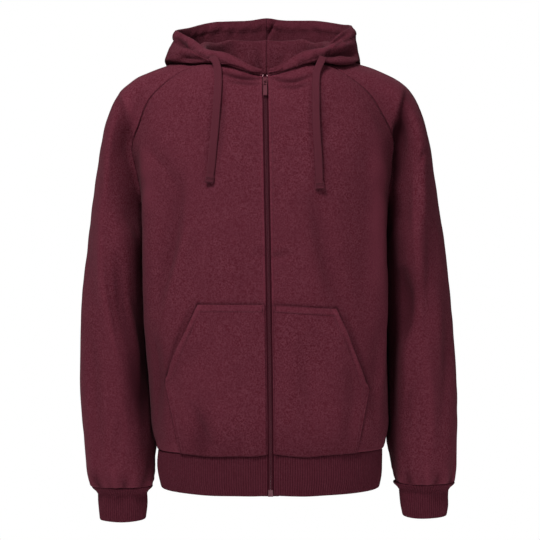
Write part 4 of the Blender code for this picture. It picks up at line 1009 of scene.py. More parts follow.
def join_facing(panels):
    """Gives touching edges of panels one facing, halfway between body and sleeve."""
    flat = np.concatenate([panel.points.reshape(-1, 3) for panel in panels])
    _, where = np.unique(np.round(flat, 4), axis=0, return_inverse=True)
    where = where.ravel()
    count = where.max() + 1
    ends = np.cumsum([panel.points[..., 0].size for panel in panels])
    groups = {True: np.zeros((count, 3)), False: np.zeros((count, 3))}
    for panel, part in zip(panels, np.split(where, ends)):
        panel.where = part
        facing = grid_normals(panel.points, panel.flip).reshape(-1, 3)
        np.add.at(groups[panel.sleeve], part, facing)
    total = unit(unit(groups[True]) + unit(groups[False]))
    for panel in panels:
        panel.facing = total[panel.where].reshape(panel.points.shape)
    return count


def push_together(panels, count, pushes):
    """Moves every panel along its facing; joined points move alike."""
    total, used = np.zeros((2, count))
    for panel, push in zip(panels, pushes):
        np.add.at(total, panel.where, push.ravel())
        np.add.at(used, panel.where, 1)
    total = total / np.maximum(used, 1)
    for panel in panels:
        panel.points = panel.raised(total[panel.where].reshape(panel.points.shape[:2]))


def wobble(points, size, seed):
    """A soft irregular wave over space, about -1 to 1, from crossing sine waves."""
    rng = np.random.default_rng(seed)
    total = np.zeros(points.shape[:-1])
    for _ in range(7):
        way = rng.normal(size=3)
        way *= (0.7 + 0.6 * rng.random()) / np.linalg.norm(way)
        total += np.sin(2 * math.pi * (points @ way) / size + rng.random() * 6.28)
    return total / 2.6


def crease_field(points, crease):
    """How strongly one crease acts on points, 0 to 1, seen in the front view."""
    x = (crease.x_top, crease.x_mid, crease.x_low)
    corner = np.stack([x, (crease.z_top, crease.z_mid, crease.z_low)], axis=1)
    keys = lengths(corner)
    line = curve(keys, corner, np.linspace(0, keys[-1], CREASE_STEPS + 1))
    best = np.full(points.shape[:2], 1e9)
    where, handed = np.zeros((2, *best.shape))
    for number, (start, end) in enumerate(zip(line[:-1], line[1:])):
        step = end - start
        away = points[..., [0, 2]] - start
        part = np.clip(away @ step / step.dot(step), 0, 1)
        off = away - part[..., None] * step
        distance = np.linalg.norm(off, axis=-1)
        nearer = distance < best
        best = np.where(nearer, distance, best)
        where = np.where(nearer, (number + part) / CREASE_STEPS, where)
        handed = np.where(nearer, off[..., 0], handed)
    fade = np.sin(math.pi * np.clip(where, 0.001, 0.999)) ** 0.8
    return fade * bell(best, np.where(handed < 0, crease.left, crease.right))


def crease_push(panel, rows, reach):
    """Sum of a table's creases or shades on one panel; reach is how far they go round to the side."""
    total = np.zeros(panel.points.shape[:2])
    for crease in each(rows):
        if bool(crease.sleeve) == panel.sleeve:
            shown = np.clip(reach + CREASE_TURN * panel.facing[..., 1] * crease.face, 0, 1)
            total += crease_field(panel.points, crease) * crease.push * shown
    return total


def hood_crease_push(panel):
    """Push of the creases of the hood: on its flank, inside the far rim and at the neck."""
    share = panel.low / (panel.low + panel.top)
    front, back = (np.clip(CREASE_TURN * face * panel.facing[..., 1], 0, 1) for face in (-1, 1))
    masks = (front * (share > 0.45), back * (share > 0.7), back * (share < 0.4))
    total = np.zeros(panel.points.shape[:2])
    for crease in each(HOOD_CREASES):
        total += crease_field(panel.points, crease) * crease.push * masks[int(crease.part)]
    return total


def sewn(distance, along, topstitch, seed, ruck=0.4):
    """Relief across a seam: a narrow valley, a soft swell to the topstitch, its groove and small puckers."""
    push = -1.15 * bell(distance, 1.3)
    if topstitch:
        push += 0.8 * ease(distance / 2.0) * ease((topstitch + 3.0 - distance) / 3.0)
        push -= 0.8 * bell(distance - topstitch, 1.1)
    phase = 2 * math.pi * along / 11.0 + 1.3 * np.sin(2 * math.pi * along / 47.0 + seed)
    uneven = 0.7 + 0.5 * np.sin(2 * math.pi * along / 83.0 + 2.1 * seed)
    return push + ruck * uneven * np.sin(phase + seed) * bell(distance - 4.5, 6.0)


def edge_drop(distance, half):
    """How far a rounded edge falls off within half the wall of it."""
    near = np.clip(half - distance, 0, half)
    return half - np.sqrt(half * half - near * near)


def hem_wave(x, y):
    """Rise and fall of the seam between body and hem band round the body."""
    front = 4.2 + 0.6 * np.sin(x / 13.0)
    for row in each(HEM_WAVES):
        front = front + row.lift * bell(x - row.x, row.width)
    rear = 2.4 + 1.8 * np.sin(x / 52.0 + 2.0) + 0.7 * np.sin(x / 17.0)
    share = ease((y + 60) / 120)
    return front * (1 - share) + rear * share


def bend(points, rows, sleeve):
    """Small local moves of the sheet that bring its lines and outline to place."""
    for row in each(rows):
        if row.sleeve not in (sleeve, 2):
            continue
        reach = bell(points[..., 0] - row.x, row.size) * bell(points[..., 2] - row.z, row.size)
        if row.face:
            reach = reach * ease(0.5 + points[..., 1] * row.face / 30.0)
        points += reach[..., None] * [row.dx, row.dy, row.dz]


def fine_grids(cloth, grids):
    """Every torso and sleeve panel refined, with the edges that are sewn together drawn to each other."""
    coarse = {key: cloth.points[np.array(grid)] for key, grid in grids.items()}
    yoke = stops(YOKE_ROWS, FINE_YOKE, False, True)[1:]
    body = stops(BODY_ROWS, FINE_BODY, True, False)
    arm_cells = len(ARM_DROPS)
    arm = stops(arm_cells, FINE_ARM, True, False)
    under, arm_under = len(body) - 1, len(arm) - 1
    rows = np.concatenate([body, BODY_ROWS + yoke])
    arm_rows = np.concatenate([arm, arm_cells + yoke])
    front = {side: refine(coarse["front", side], rows, stops(FRONT_COLUMNS, FINE_FRONT)) for side in SIDES}
    back = np.concatenate([coarse["back", 1], coarse["back", -1][:, -2::-1]], axis=1)
    back = refine(back, rows, stops(2 * BACK_COLUMNS, FINE_ACROSS))
    for side, edge in BACK_EDGES.items():
        draw_to(back, slice(0, under + 1), edge, front[side][:under + 1, -1])
    for grid in (back, *front.values()):
        bend(grid, BENDS, 0)
    panels = []
    for side, name in SIDES.items():
        sleeve = refine(coarse["sleeve", side], arm_rows, stops(SLEEVE_COLUMNS, FINE_SLEEVE))
        bend(sleeve, BENDS, 1)
        low = slice(0, arm_under + 1)
        middle = 0.5 * (sleeve[low, 0] + sleeve[low, -1])
        for edge, seam in ((0, front[side][under:, -1]), (-1, back[under:, BACK_EDGES[side]])):
            draw_to(sleeve, low, edge, middle)
            draw_to(sleeve, slice(arm_under, None), edge, seam)
        panels.append(Panel("front_" + name, front[side], side < 0, under))
        panels.append(Panel("sleeve_" + name, sleeve, side < 0, arm_under))
    return panels + [Panel("back", back, False, under)]


def seam_push(panel):
    """Relief of a panel's seams, stitching and gathers; what lies deeper also gets painted shade, and what
    stands out painted light.
    """
    def seam(edge, stitch, seed, ruck=0.4):
        run = panel.across if edge in ("low", "top") else panel.along
        return sewn(getattr(panel, edge), run, stitch, seed, ruck)

    yoke = np.arange(len(panel.points))[:, None] >= panel.under
    push = seam("top", NECK_STITCH, 1.0)
    if panel.sleeve:
        raglan = seam("left", RAGLAN_STITCH, 0.5) + seam("right", RAGLAN_STITCH, 0.8)
        underarm = seam("left", 0, 0.5) + seam("right", 0, 0.8)
        push += np.where(yoke, raglan, underarm) + seam("low", 0, 2.0, 0.0) + gather_push(panel)
    else:
        push += seam("low", HEM_STITCH, 2.0, 0.45)
        if panel.name == "back":
            push += seam("left", 0, 0.5) + seam("right", 0, 0.8)
        else:
            push += np.where(yoke, seam("right", 0, 0.5), seam("right", 0, 0.2))
            push += 0.9 * ease((ZIP_STITCH + 3 - panel.left) / 3) - 0.8 * bell(panel.left - ZIP_STITCH, 1.2)
            ripple = np.sin(2 * math.pi * panel.along / 13 + 2 * np.sin(panel.along / 31))
            push += 0.28 * ripple * bell(panel.left - 6, 6)
        push += 0.8 * bell(panel.low - 9, 8) * (1 + 0.5 * wobble(panel.points, 60, 13))
        # painted highlight on the ridge just above the hem seam
        panel.tone += 0.5 * bell(panel.low - 2.6, 1.5)
    # painted shade in the seam valleys and painted light on the swells
    panel.tone = np.clip(panel.tone + np.where(push < 0, 0.5 * push, 0.3 * push), PAINTED_SHADE_LIMIT, PAINTED_LIGHT_LIMIT)
    return push


def fine_panels(cloth, grids):
    """Every torso and sleeve panel refined, joined, creased and seamed."""
    panels = fine_grids(cloth, grids)
    count = join_facing(panels)
    pushes = []
    for panel in panels:
        push = crease_push(panel, CREASES, 0.0)
        # painted shade in the crease troughs and painted light on their ridges, with the painted shade and
        # light of SHADES
        panel.tone = np.clip(0.035 * push + crease_push(panel, SHADES, 1.0), PAINTED_SHADE_LIMIT, PAINTED_LIGHT_LIMIT)
        pushes.append(push + 0.7 * wobble(panel.points, 95, 3) + 0.3 * wobble(panel.points, 34, 5))
    push_together(panels, count, pushes)
    for panel in panels:
        panel.measure()
    count = join_facing(panels)
    push_together(panels, count, [seam_push(panel) for panel in panels])
    for panel in panels:
        if not panel.sleeve:
            wave = hem_wave(panel.points[..., 0], panel.points[..., 1])
            panel.points[..., 2] += wave * ease(1 - panel.low / 60)
    return {panel.name: panel for panel in panels}


def gather_push(panel):
    """Push of the gathers above a cuff."""
    left = panel.name.endswith("left")
    cuff = each(CUFF)[0 if left else 1]
    x = panel.points[..., 0] - 0.5 * (cuff.top_outer + cuff.top_inner)
    y = panel.points[..., 1] - 0.5 * (cuff.fore + cuff.aft)
    angle = np.degrees(np.arctan2(y, x))
    total = np.zeros(panel.points.shape[:2])
    for row in each(GATHERS):
        turn = row.turn if left else row.turn + 9
        away = (angle - turn + 180) % 360 - 180
        fade = ease(panel.low / 4) * ease((row.height - panel.low) / row.height)
        total += row.push * bell(away, row.width) * fade
    return total


# ---------------------------------------------------------------- meshes


def put_in_scene(name, data):
    made = bpy.data.objects.new(name, data)
    bpy.context.scene.collection.objects.link(made)
    return made


def make_mesh(name, points, faces, look, uv=None, smooth=True, tone=None):
    """A named object in the frame from points in millimetres."""
    mesh = bpy.data.meshes.new(name)
    faces = faces if isinstance(faces, list) else faces.tolist()
    mesh.from_pydata((np.asarray(points) * MM).tolist(), [], faces)
    if uv is not None:
        layer = mesh.uv_layers.new(name="cloth")
        index = np.zeros(len(mesh.loops), dtype=np.int64)
        mesh.loops.foreach_get("vertex_index", index)
        layer.uv.foreach_set("vector", np.asarray(uv, dtype=np.float32)[index].ravel())
    # the tone attribute holds painted shade and painted light
    if tone is not None:
        values = mesh.attributes.new("tone", "FLOAT", "POINT").data
        values.foreach_set("value", np.asarray(tone, dtype=np.float32))
    mesh.materials.append(look)
    mesh.polygons.foreach_set("use_smooth", [smooth] * len(mesh.polygons))
    return put_in_scene(name, mesh)


def fix_facing(item, merge=None):
    """Turns all faces of a closed mesh outwards, after joining the points that lie nearer than merge."""
    shape = bmesh.new()
    shape.from_mesh(item.data)
    if merge:
        bmesh.ops.remove_doubles(shape, verts=shape.verts, dist=merge)
    bmesh.ops.recalc_face_normals(shape, faces=shape.faces)
    shape.to_mesh(item.data)
    shape.free()
    return item


def tube_faces(rows, count):
    """Faces round a tube of rings with so many points each."""
    index = np.arange(rows * count).reshape(rows, count)
    after = np.roll(index, -1, axis=1)
    return np.stack([index[:-1], after[:-1], after[1:], index[1:]], axis=-1).reshape(-1, 4)


def wall(name, outer, inner, flip, look, across, along, tone):
    """A closed cloth wall between two grids of points."""
    index, quads = grid_quads(*outer.shape[:2])
    ring = np.concatenate([index[0], index[1:, -1], index[-1, -2::-1], index[-2:0:-1, 0]])
    after = np.roll(ring, -1)
    rim = np.stack([after, ring, ring + index.size, after + index.size], axis=-1)
    if flip:
        quads, rim = quads[:, ::-1], rim[:, ::-1]
    faces = np.concatenate([quads, quads[:, ::-1] + index.size, rim])
    points = np.concatenate([outer.reshape(-1, 3), inner.reshape(-1, 3)])
    uv = np.stack([across.ravel(), along.ravel()], axis=1) * MM
    return make_mesh(name, points, faces, look, np.tile(uv, (2, 1)), tone=np.tile(tone.ravel(), 2))


class Stitches:
    """Threads lying on the cloth, gathered in one mesh."""

    def __init__(self):
        self.points = []
        self.faces = []
        self.total = 0
        turn = 2 * math.pi * np.arange(STITCH_SIDES) / STITCH_SIDES
        self.shape = np.array([
            (along, size * math.cos(angle), size * math.sin(angle) + lift)
            for along, size, lift in STITCH_RINGS for angle in turn
        ])
        self.quads = tube_faces(len(STITCH_RINGS), STITCH_SIDES)[:, [0, 3, 2, 1]]

    def run(self, points, facing, size=STITCH_SIZE, turned=False):
        """A row of stitches along a run of points on the cloth; turned ones lie square to the run."""
        pitch, length, radius = size
        along = lengths(points)
        count = int(along[-1] / pitch)
        if count < 1:
            return
        middle = (np.arange(count) + 0.5) * along[-1] / count
        before, after = (sample(middle + lean * pitch, along, points) for lean in (-0.3, 0.3))
        way = unit(after - before)
        out = sample(middle, along, facing)
        out = unit(out - way * (out * way).sum(axis=1, keepdims=True))
        side = np.cross(out, way)
        if turned:
            way, side = side, -way
        axes = np.stack([way, side, out], axis=1)
        shape = self.shape * [length, radius, radius]
        mesh = sample(middle, along, points)[:, None] + shape @ axes
        self.points.append(mesh.reshape(-1, 3))
        starts = self.total + np.arange(count) * len(shape)
        self.faces.append((self.quads + starts[:, None, None]).reshape(-1, 4))
        self.total += count * len(shape)

    def sew(self, panel, edge, distance, rows, lift=0.05):
        """A row of stitches along one edge of a panel."""
        self.run(*edge_line(panel, edge, distance, rows, lift))

    def build(self, name, look):
        return make_mesh(name, np.concatenate(self.points), np.concatenate(self.faces), look)


def edge_line(panel, edge, distance, rows, lift):
    """Points and facing on a panel at one distance from its left, right, low or top edge."""
    grids = [getattr(panel, edge), panel.points, panel.facing]
    if edge in ("low", "top"):
        grids = [np.swapaxes(grid, 0, 1) for grid in grids]
    points = []
    facing = []
    for run, spots, ways in zip(*(grid[rows] for grid in grids)):
        if run[0] > run[-1]:
            run, spots, ways = run[::-1], spots[::-1], ways[::-1]
        if run[-1] >= distance:
            points.append(sample(distance, run, spots))
            facing.append(sample(distance, run, ways))
    facing = unit(np.array(facing))
    return np.array(points) + facing * lift, facing


# ---------------------------------------------------------------- materials


class Nodes:
    """Short names for building a node material; place is where a point is on its object."""

    def __init__(self, name):
        self.made = bpy.data.materials.new(name)
        self.made.use_nodes = True
        self.tree = self.made.node_tree
        self.place = self.node("TexCoord", {}, "Object")

    def put(self, socket, value):
        """Links an input to another node's output, or sets its value."""
        if isinstance(value, bpy.types.NodeSocket):
            self.tree.links.new(value, socket)
        else:
            socket.default_value = (*value, 1.0) if isinstance(value, tuple) else value

    def node(self, kind, inputs, output=0, **settings):
        """One output of a new node, with its settings made and its inputs put."""
        made = self.tree.nodes.new("ShaderNode" + kind)
        for key, value in settings.items():
            setattr(made, key, value)
        for key, value in inputs.items():
            self.put(made.inputs[key], value)
        return made.outputs[output]

    def math(self, operation, *values):
        return self.node("Math", dict(enumerate(values)), operation=operation)

    def sine(self, value):
        return self.math("SINE", self.math("MULTIPLY", value, math.pi))

    def noise(self, scale, detail=2.0, rough=0.5):
        inputs = {"Vector": self.place, "Scale": scale, "Detail": detail, "Roughness": rough}
        return self.node("TexNoise", inputs, "Fac")

    def ramp(self, value, low, high, start, end):
        inputs = {"Value": value, "From Min": low, "From Max": high, "To Min": start, "To Max": end}
        return self.node("MapRange", inputs, "Result")

    def blend(self, factor, one, two):
        return self.node("Mix", {"Factor": factor, 6: one, 7: two}, 2, data_type="RGBA")

    def layers(self, tone, colour, *rows):
        """Shades of a colour laid over a tone, each where its value runs from low to high."""
        for value, low, high, start, end, factor in rows:
            tone = self.blend(self.ramp(value, low, high, start, end), tone, shade(colour, factor))
        return tone

    def bump(self, height, strength, distance, **before):
        inputs = {"Height": height, "Strength": strength, "Distance": distance, **before}
        return self.node("Bump", inputs, "Normal")

    def threads(self, vector, up, wale, course):
        """Counts of columns and rows over a vector, from their sizes in millimetres."""
        split = self.node("SeparateXYZ", {0: vector}).node.outputs
        return [self.math("MULTIPLY", split[axis], 1000 / size) for axis, size in ((0, wale), (up, course))]

    def knit(self, wale, course, lean):
        """Slanted loops in columns."""
        across, along = self.threads(self.node("UVMap", {}, "UV", uv_map="cloth"), 1, wale, course)
        part = self.math("FRACT", across)
        arm = self.math("MULTIPLY", self.math("ABSOLUTE", self.math("SUBTRACT", part, 0.5)), lean)
        loop = self.sine(self.math("FRACT", self.math("ADD", along, arm)))
        return self.math("MULTIPLY", loop, self.sine(part))

    def finish(self, inputs):
        for key, value in inputs.items():
            self.put(self.tree.nodes["Principled BSDF"].inputs[key], value)
        return self.made


def shade(colour, factor):
    return tuple(min(value * factor, 1.0) for value in colour)


def fleck(colour, amount):
    """The colour with the same seen step added in every channel, as paler or darker fibres in the yarn do."""
    return tuple(max(0.1 * part, part + amount * step) for part, step in zip(colour, FLECK_STEP))


def cloth_material(name, colour, wale, course, mottle=1.0, knit=0.35, sheen=0.03):
    """Brushed knitted cloth: knit stitches, fibre fuzz, a heathered mottle, broad uneven dye, and the painted
    shade and painted light of the tone attribute.
    """
    n = Nodes(name)
    pattern = n.knit(wale, course, 1.0)
    fuzz = n.noise(1500, 3.0, 0.7)
    speck = n.noise(400, 2.0, 0.65)
    # relief is the mesh's tone attribute: painted shade and painted light, mostly following creases, seams
    # and grooves
    relief = n.node("Attribute", {}, "Fac", attribute_name="tone")
    yarn = (fleck(colour, -0.33 * mottle), fleck(colour, 0.38 * mottle))
    tone = n.layers(
        n.blend(n.ramp(speck, 0.36, 0.64, 0.0, 1.0), *yarn), colour,
        # value, low, high, amount at low and at high, how light the layer is
        (fuzz, 0.3, 0.7, 0.0, 0.5, 1.2),
        (n.noise(120, 2.0, 0.6), 0.33, 0.67, 0.0, 0.34, 0.84),
        (n.noise(38, 2.0, 0.5), 0.35, 0.65, 0.0, 0.35, 0.92),
        (n.noise(6, 1.0, 0.4), 0.35, 0.65, 0.0, 0.3, 1.1),
        (pattern, 0.0, 1.0, 0.22, 0.0, 0.72),
        # painted shade where the tone is below 0, painted light where it is above
        (relief, 0.0, PAINTED_SHADE_LIMIT, 0.0, 0.98, 0.28),
        (relief, 0.0, PAINTED_LIGHT_LIMIT, 0.0, 0.6, 1.65),
    )
    raised = n.bump(fuzz, 0.35, 0.0004, Normal=n.bump(pattern, knit, 0.0004))
    return n.finish({
        "Base Color": tone,
        "Roughness": n.ramp(fuzz, 0.3, 0.7, 0.84, 0.97),
        "IOR": 1.2,
        "Sheen Weight": sheen,
        "Sheen Roughness": 0.45,
        "Sheen Tint": (1.0, 0.62, 0.68),
        "Specular IOR Level": 0.06,
        "Normal": n.bump(speck, 0.25, 0.0008, Normal=raised),
    })


def cord_material(name, colour):
    """A flat knitted cord: slanted loops in columns."""
    n = Nodes(name)
    pattern = n.knit(1.5, 1.3, 1.4)
    fuzz = n.noise(1800, 3.0, 0.7)
    tone = n.layers(
        shade(colour, 0.95), colour,
        (fuzz, 0.3, 0.7, 0.0, 0.6, 1.3),
        (pattern, 0.0, 1.0, 0.4, 0.0, 0.6),
    )
    return n.finish({
        "Base Color": tone,
        "Roughness": n.ramp(fuzz, 0.3, 0.7, 0.8, 0.95),
        "Sheen Weight": 0.03,
        "Sheen Tint": (1.0, 0.65, 0.7),
        "Specular IOR Level": 0.08,
        "Normal": n.bump(fuzz, 0.3, 0.0004, Normal=n.bump(pattern, 0.8, 0.0006)),
    })


def tape_material(name, colour):
    """Woven zip tape: a fine herringbone."""
    n = Nodes(name)
    across, along = n.threads(n.place, 2, 1.6, 0.55)
    zigzag = n.math("MULTIPLY", n.math("PINGPONG", across, 1.0), 2.0)
    rib = n.sine(n.math("ADD", along, zigzag))
    fuzz = n.noise(2200)
    tone = n.layers(
        shade(colour, 0.7), colour,
        (rib, -1.0, 1.0, 0.0, 1.0, 1.2),
        (fuzz, 0.35, 0.65, 0.0, 0.4, 1.35),
    )
    return n.finish({
        "Base Color": tone,
        "Roughness": n.ramp(fuzz, 0.3, 0.7, 0.7, 0.9),
        "Specular IOR Level": 0.06,
        "Normal": n.bump(rib, 0.5, 0.0003),
    })


def thread_material(name, colour):
    """Twisted sewing thread."""
    n = Nodes(name)
    twist = n.noise(900, 1.0)
    return n.finish({
        "Base Color": n.layers(shade(colour, 0.8), colour, (n.noise(2600), 0.3, 0.7, 0.0, 1.0, 1.3)),
        "Roughness": n.ramp(twist, 0.3, 0.7, 0.6, 0.8),
        "Specular IOR Level": 0.15,
        "Normal": n.bump(twist, 0.4, 0.0003),
    })


def hard_material(name, colour, worn, metal, rough, wear=0.35, gloss=0.5):
    """Painted or bare metal, or nylon: fine grain, faint scratches and lighter worn edges."""
    n = Nodes(name)
    grain = n.noise(1400, 3.0)
    scratch = n.noise(320, 4.0, 0.7)
    edge = n.node("NewGeometry", {}, "Pointiness")
    rubbed = n.math("MULTIPLY", n.ramp(edge, 0.51, 0.6, 0.0, 1.0), n.ramp(scratch, 0.35, 0.6, 0.2, 1.0))
    tone = n.layers(shade(colour, 0.85), colour, (grain, 0.3, 0.7, 0.0, 1.0, 1.15))
    return n.finish({
        "Base Color": n.blend(n.math("MULTIPLY", rubbed, wear), tone, worn),
        "Metallic": metal,
        "Roughness": n.ramp(scratch, 0.3, 0.7, rough - 0.08, rough + 0.1),
        "Specular IOR Level": gloss,
        "Normal": n.bump(scratch, 0.15, 0.0002, Normal=n.bump(grain, 0.12, 0.0002)),
    })


# ---------------------------------------------------------------- camera, light and stage


def camera(scene):
    """The photograph's camera, straight in front."""
    data = bpy.data.cameras.new("camera")
    data.sensor_width = SENSOR
    data.lens = SENSOR * CAMERA_AWAY / (PHOTO_PIXELS * PIXEL)
    item = put_in_scene("camera", data)
    item.location = Vector((CAMERA_X, -CAMERA_AWAY, CAMERA_Z)) * MM
    item.rotation_euler = (math.pi / 2, 0, 0)
    scene.camera = item


def surroundings(scene):
    """A world that is white to the camera and gives the garment less light than that."""
    world = bpy.data.worlds.new("studio")
    world.use_nodes = True
    tree = world.node_tree
    seen = tree.nodes["Background"]
    fill = tree.nodes.new("ShaderNodeBackground")
    for background in (seen, fill):
        background.inputs["Color"].default_value = (1.0, 1.0, 1.0, 1.0)
    fill.inputs["Strength"].default_value = WORLD_FILL
    path = tree.nodes.new("ShaderNodeLightPath")
    mix = tree.nodes.new("ShaderNodeMixShader")
    for source, target in (
        (path.outputs["Is Camera Ray"], mix.inputs["Fac"]),
        (fill.outputs[0], mix.inputs[1]),
        (seen.outputs[0], mix.inputs[2]),
        (mix.outputs[0], tree.nodes["World Output"].inputs["Surface"]),
    ):
        tree.links.new(source, target)
    scene.world = world


def stage_floor():
    """A pale disc under the garment that fades into the white."""
    n = Nodes("floor_pale")
    away = n.node("VectorMath", {0: n.place}, "Value", operation="LENGTH")
    look = n.finish({
        "Base Color": n.blend(n.noise(3.0), (0.90, 0.90, 0.90), (0.94, 0.94, 0.94)),
        "Roughness": 0.9,
        "Emission Color": (1.0, 1.0, 1.0),
        "Emission Strength": n.ramp(away, 0.35, 0.98, 0.12, 1.0),
    })
    turn = 2 * math.pi * np.arange(FLOOR_SIDES) / FLOOR_SIDES
    disc = FLOOR_RADIUS * np.stack([np.cos(turn), np.sin(turn), 0 * turn], axis=1)
    floor = make_mesh("floor", disc, [tuple(range(FLOOR_SIDES))], look, None, False)
    floor.location.z = FLOOR_LEVEL * MM


def studio():
    """Camera at the front, white surroundings, soft lamps and a pale floor under the garment."""
    scene = bpy.context.scene
    scene.view_settings.view_transform = "Standard"
    scene.view_settings.look = "None"
    camera(scene)
    surroundings(scene)
    for row in each(LAMPS):
        lamp = bpy.data.lights.new("softbox", "AREA")
        lamp.shape = "SQUARE"
        lamp.size = row.size
        lamp.energy = row.watts
        item = put_in_scene("softbox", lamp)
        item.location = (row.x, row.y, row.z)
        aim = Vector(LAMP_AIM) - item.location
        item.rotation_euler = aim.to_track_quat("-Z", "Y").to_euler()
    stage_floor()


# ---------------------------------------------------------------- pieces


def ribbed_wall(name, rings, closed, look):
    """A ribbed band from rings of points: ribs stand on the outer side, and the inner side follows softly."""
    middle = np.stack(rings)
    facing = unit(grid_normals(middle, True))
    if closed:
        facing[:, 0] = facing[:, -1] = unit(facing[:, 0] + facing[:, -1])
    facing = unit(facing * [1, 1, 0.3])
    across, along = grid_lengths(middle)
    top = along[-1:] - along
    rib = np.abs(np.sin(math.pi * np.arange(middle.shape[1]) / RIB_STEPS)) ** 0.6
    # painted light on the rib ridges, painted shade in their valleys and along the top seam
    tone = 0.3 * rib - 0.5 * (1 - rib) - 0.5 * bell(top, 1.3)
    ribs = RIB_DEPTH * (rib - 0.6) * ease(along / 3) * ease(top / 2.5)
    near = along if closed else np.minimum(along, np.minimum(across, across[:, -1:] - across))
    thick = CLOTH + RIB_EXTRA
    drop = edge_drop(near, 0.5 * thick)
    outer = middle + facing * (ribs - drop - 0.6 * bell(top, 1.2))[..., None]
    inner = middle - facing * (thick - drop + 0.3 * ribs)[..., None]
    return wall(name, outer, inner, True, look, across, along, np.clip(tone, -1, 1))


def hem_band(look):
    """The ribbed hem band from one zip edge round the back to the other."""
    rings = []
    count = None
    for share in np.concatenate([[0.0, 0.012, 0.032], np.linspace(0.08, 0.93, 9), [0.965, 0.985, 1.0]]):
        height = HEM_EDGE + (HEM_SEAM - HEM_EDGE) * share
        left, right = ([torso_half(HEM, side, height, back) for back in (False, True)] for side in SIDES)
        ring = np.concatenate([left[0], left[1][-2::-1], right[1][1:], right[0][-2::-1]])
        count = count or int(lengths(ring)[-1] / RIB_PITCH)
        ring = spread(ring, count * RIB_STEPS)
        swell = 1.6 * wobble(ring * [1, 1, 0.3], 120, 21) + 0.5 * wobble(ring, 46, 22)
        ring = ring + unit(ring * [1, 1, 0]) * (math.sin(math.pi * share) * swell)[:, None]
        ring[:, 2] += hem_wave(ring[:, 0], ring[:, 1]) * (0.35 + 0.65 * share)
        rings.append(ring)
    return ribbed_wall("hem_rib_knit", rings, False, look)


def cuff_band(place, look):
    """One ribbed cuff, a short open tube."""
    cuff = each(CUFF)[place]
    across, depth = rounded(-2 * math.pi * np.linspace(0, 1, CUFF_STEPS + 1), 2 / CUFF_SQUARE)
    rings = []
    count = None
    shares = np.concatenate([[0.0, 0.012, 0.03, 0.055], np.linspace(0.095, 0.93, 11), [0.965, 0.985, 1.0]])
    for share in shares:
        low = 1 - share
        far = cuff.top_outer * share + cuff.low_outer * low
        near = cuff.top_inner * share + cuff.low_inner * low
        centre = np.array([0.5 * (far + near), 0.5 * (cuff.fore + cuff.aft), 0])
        swell = 1.0 + 0.03 * math.sin(math.pi * share)
        flare = CUFF_FLARE * ease((share - 0.76) / 0.24)
        ring = np.stack([
            centre[0] + (0.5 * abs(far - near) * swell + flare) * across,
            centre[1] + (0.5 * (cuff.aft - cuff.fore) * swell + flare) * depth,
            np.full(len(across), cuff.top + 0.6 - (CUFF_HEIGHT + 0.6) * low),
        ], axis=1)
        count = count or int(lengths(ring)[-1] / (RIB_PITCH * 0.92))
        ring = spread(ring, count * RIB_STEPS)
        bulge = 0.9 * math.sin(math.pi * share) * wobble(ring, 40, 31 + place)
        ring = ring + unit((ring - centre) * [1, 1, 0]) * bulge[:, None]
        ring[:, 2] += 0.9 * wobble(ring * [1, 1, 0], 60, 33 + place) * (0.5 + low * 0.5)
        rings.append(ring)
    return ribbed_wall("cuff_" + SIDES[int(cuff.side)] + "_knit", rings, True, look)


def panel_wall(panel, outer, inner, look, tone):
    return wall(panel.name + "_cloth", outer, inner, panel.flip, look, panel.across, panel.along, tone)


def cloth_wall(panel, look):
    """A panel's wall with a rounded zip edge where it has one."""
    front = panel.name.startswith("front")
    thick = CLOTH + FRONT_EXTRA if front else CLOTH
    drop = edge_drop(panel.left, 0.5 * thick) if front else 0 * panel.left
    return panel_wall(panel, panel.raised(-drop), panel.raised(drop - thick), look, panel.tone)


def segment_distance(flat, start, end):
    """Distance of points in the front view from a line piece."""
    line = end - start
    away = flat - start
    part = np.clip(away @ line / line.dot(line), 0, 1)
    return np.linalg.norm(away - part[..., None] * line, axis=-1)


def drop_on(tree, x, z):
    """The place on a front surface under a point of the front view."""
    spot, facing, _, _ = tree.ray_cast(Vector((x, RAY_START, z)), Vector((0, 1, 0)))
    return spot, facing


def laid_on(tree, line, limit=math.inf):
    """Places and facing on a front surface under a line of the front view, as far as it is near enough."""
    spots = []
    ways = []
    for x, z in line:
        spot, way = drop_on(tree, x, z)
        if spot is not None and spot.y < limit:
            spots.append(spot)
            ways.append(way if way.y < 0 else -way)
    return np.array(spots), unit(np.array(ways))


def pocket_corners(side):
    """Corners of a pocket in the front view: inner top, top, foot of the mouth, bend and foot."""
    return np.stack([POCKET[side]["x"], POCKET[side]["z"]], axis=1)


def pocket_shade(front, side):
    """Paints shade on a front close to its pocket, most along the mouth."""
    corners = pocket_corners(side)
    tone = np.zeros(front.points.shape[:2])
    for start, end, (width, depth) in zip(corners[:-1], corners[1:], POCKET_SHADES):
        distance = segment_distance(front.points[..., [0, 2]], start, end)
        tone = np.maximum(tone, depth * bell(distance, width))
    front.tone = np.clip(front.tone - tone, PAINTED_SHADE_LIMIT, PAINTED_LIGHT_LIMIT)


def offset_line(start, end, side, inward, cut_start, cut_end):
    """A line piece in the front view moved towards the middle of the body and shortened at its ends."""
    line = (end - start) / np.linalg.norm(end - start)
    square = np.array([-line[1], line[0]])
    if square[0] * side > 0:
        square = -square
    return start + square * inward + line * cut_start, end + square * inward - line * cut_end


